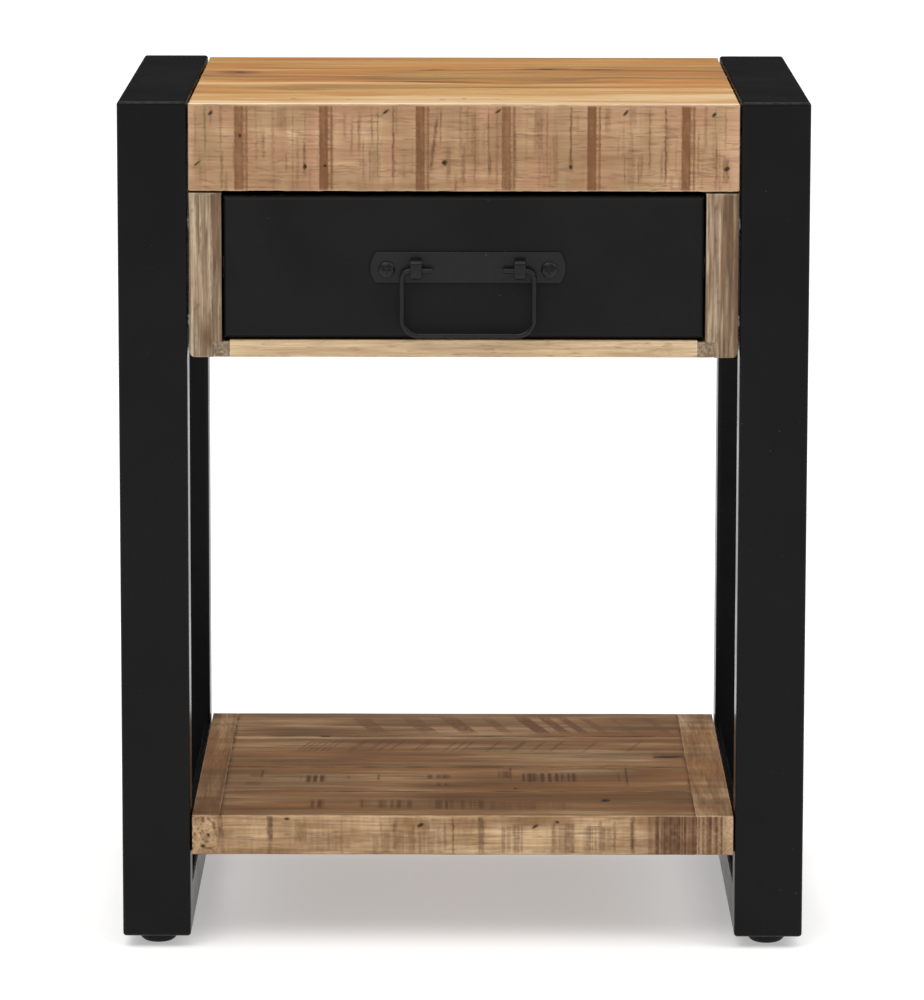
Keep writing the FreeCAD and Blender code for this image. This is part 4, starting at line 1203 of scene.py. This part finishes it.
def paintSide(places, outward):
    grain = softNoise(places, (1.3, 1.6, 60), 81)
    broad = softNoise(places, (6, 7, 45), 82)
    side = "left" if places[:, 0].mean() < 0 else "right"
    inner = np.abs(places[:, 0]).min()
    share = (np.abs(places[:, 0]) - inner) / caseWork["thickness"]
    edge = share + (broad - 0.5) * 0.12
    # partly the wood's own tone and partly painted shade: each panel is made darker towards its
    # right side, as left-falling light leaves it
    lean = (edge - 0.3) * 6 if side == "left" else (0.5 - edge) * 5
    lean = np.clip(lean, -0.5, 0.5) * 1.5
    rough = softNoise(places, (1.0, 1.0, 2.4), 83)
    marks = clamp((rough - 0.7) * 5) * 0.35
    (across, wide), (up, tall) = caseWork["knot"], caseWork["knotHeight"]
    knot = np.exp(-(((share - across) / wide) ** 2 + ((places[:, 2] - up) / tall) ** 2))
    split = softNoise(places, (0.8, 1.0, 22), 86)
    split = clamp((split - 0.7) * 5) * clamp(1.2 - np.abs(share - 0.4) * 3)
    return {"tone": (grain - 0.5) * 1.1 + (broad - 0.5) * 0.6 + lean * 0.38 - 0.02,
            "stain": split * 0.8,
            "blush": (softNoise(places, (4, 9, 30), 87) - 0.5) * 1.6,
            "lines": marks + caseWork["knotStrength"][side] * knot,
            "board": np.full(len(places), caseWork["boardShades"][side])}


def panelSteps():
    # heights where a side panel's outline changes: above the corner strip, below the apron
    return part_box("right_corner_cleat")[1].z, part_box("front_apron")[0].z - 1.0 * mm


def wearSide(places, outward, marks):
    swell = softNoise(places, (9, 20, 26), 84)
    fibres = softNoise(places, (0.9, 0.9, 7), 85)
    away = np.min([np.abs(places[:, 2] - step) for step in panelSteps()], axis=0)
    return (0.16 * mm * swell + 0.09 * mm * fibres) * clamp(away / caseWork["quiet"] - 0.1)


def makeCaseSides():
    corner, arris, rise = caseWork["corner"], caseWork["arris"], caseWork["step"]
    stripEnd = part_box("right_corner_cleat")[1].x
    apronLow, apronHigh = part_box("front_apron")
    behind = apronHigh.y - apronLow.y
    strip, shoulder = panelSteps()
    for side, sign in (("left", -1), ("right", 1)):
        low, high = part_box(side + "_case_side")
        inner, outer = sorted((low.x, high.x), key=abs)

        def outline(inside, outside, setback):
            near, far = sorted((inside, outside))
            front, back = low.y + setback, high.y - setback
            return [(near, front, arris), (far, front, arris), (far, back, arris),
                    (near, back, arris)]

        levels = []
        for quarter in (0, 22, 45, 67, 90):
            angle = math.radians(quarter)
            rounded = outer - sign * corner * (1 - math.sin(angle))
            levels.append((low.z + corner * (1 - math.cos(angle)),
                           outline(sign * stripEnd, rounded, 0), 0.0))
        levels += [(strip, outline(sign * stripEnd, outer, 0), 0.0),
                   (strip + rise, outline(inner, outer, 0), 0.0),
                   (shoulder - rise, outline(inner, outer, 0), 0.0),
                   (shoulder, outline(inner, outer, behind), 0.0),
                   (high.z, outline(inner, outer, behind), 0.0)]
        fine = {"rest": 4 * mm, "-y": 0.7 * mm, "+y": 1.5 * mm,
                ("-x" if sign < 0 else "+x"): 1.1 * mm}
        board = makeBoard(side + "CasePanel", 2, levels, fine, 1.2 * mm, paintSide, wearSide)
        fit(board, "table", sideWood, "side_wood", side + "_case_side")
        low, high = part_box(side + "_corner_cleat")
        corners = boxCorners(low, high, 0, (caseWork["stripArris"],) * 4)
        levels = easedEnds(corners, low.x, high.x, 0.3 * mm)
        fine = {"rest": 4 * mm, "-y": 0.7 * mm}
        cleat = makeBoard(side + "CornerStrip", 0, levels, fine, 0.8 * mm, None, wearSide)
        fit(cleat, "table", cleatWood, "cleat_wood", side + "_corner_cleat")


def wearBottom(places, outward, marks):
    swell = softNoise(places, (30, 30, 8), 91)
    return 0.14 * mm * swell + 0.05 * mm * softNoise(places, (9, 1, 0.8), 92)


def paintBottom(places, outward):
    streak = softNoise(places, (80, 9, 1.6), 93)
    wide = softNoise(places, (50, 40, 5), 94)
    return {"tone": (streak - 0.5) * 0.5 + (wide - 0.5) * 0.3}


def makeCaseBottom():
    low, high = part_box("case_bottom")
    corners = boxCorners(low, high, 0, (0.8 * mm, 0.5 * mm, 0.3 * mm, 0.8 * mm))
    levels = easedEnds(corners, low.x, high.x, 0.3 * mm)
    fine = {"rest": 5 * mm, "-y": 0.7 * mm, "-z": 2.5 * mm}
    board = makeBoard("caseBottomBoard", 0, levels, fine, 1.0 * mm, paintBottom, wearBottom)
    fit(board, "table", bottomWood, "bottom_wood", "case_bottom")


makeCaseSides()
makeCaseBottom()
print("drawer case ready")
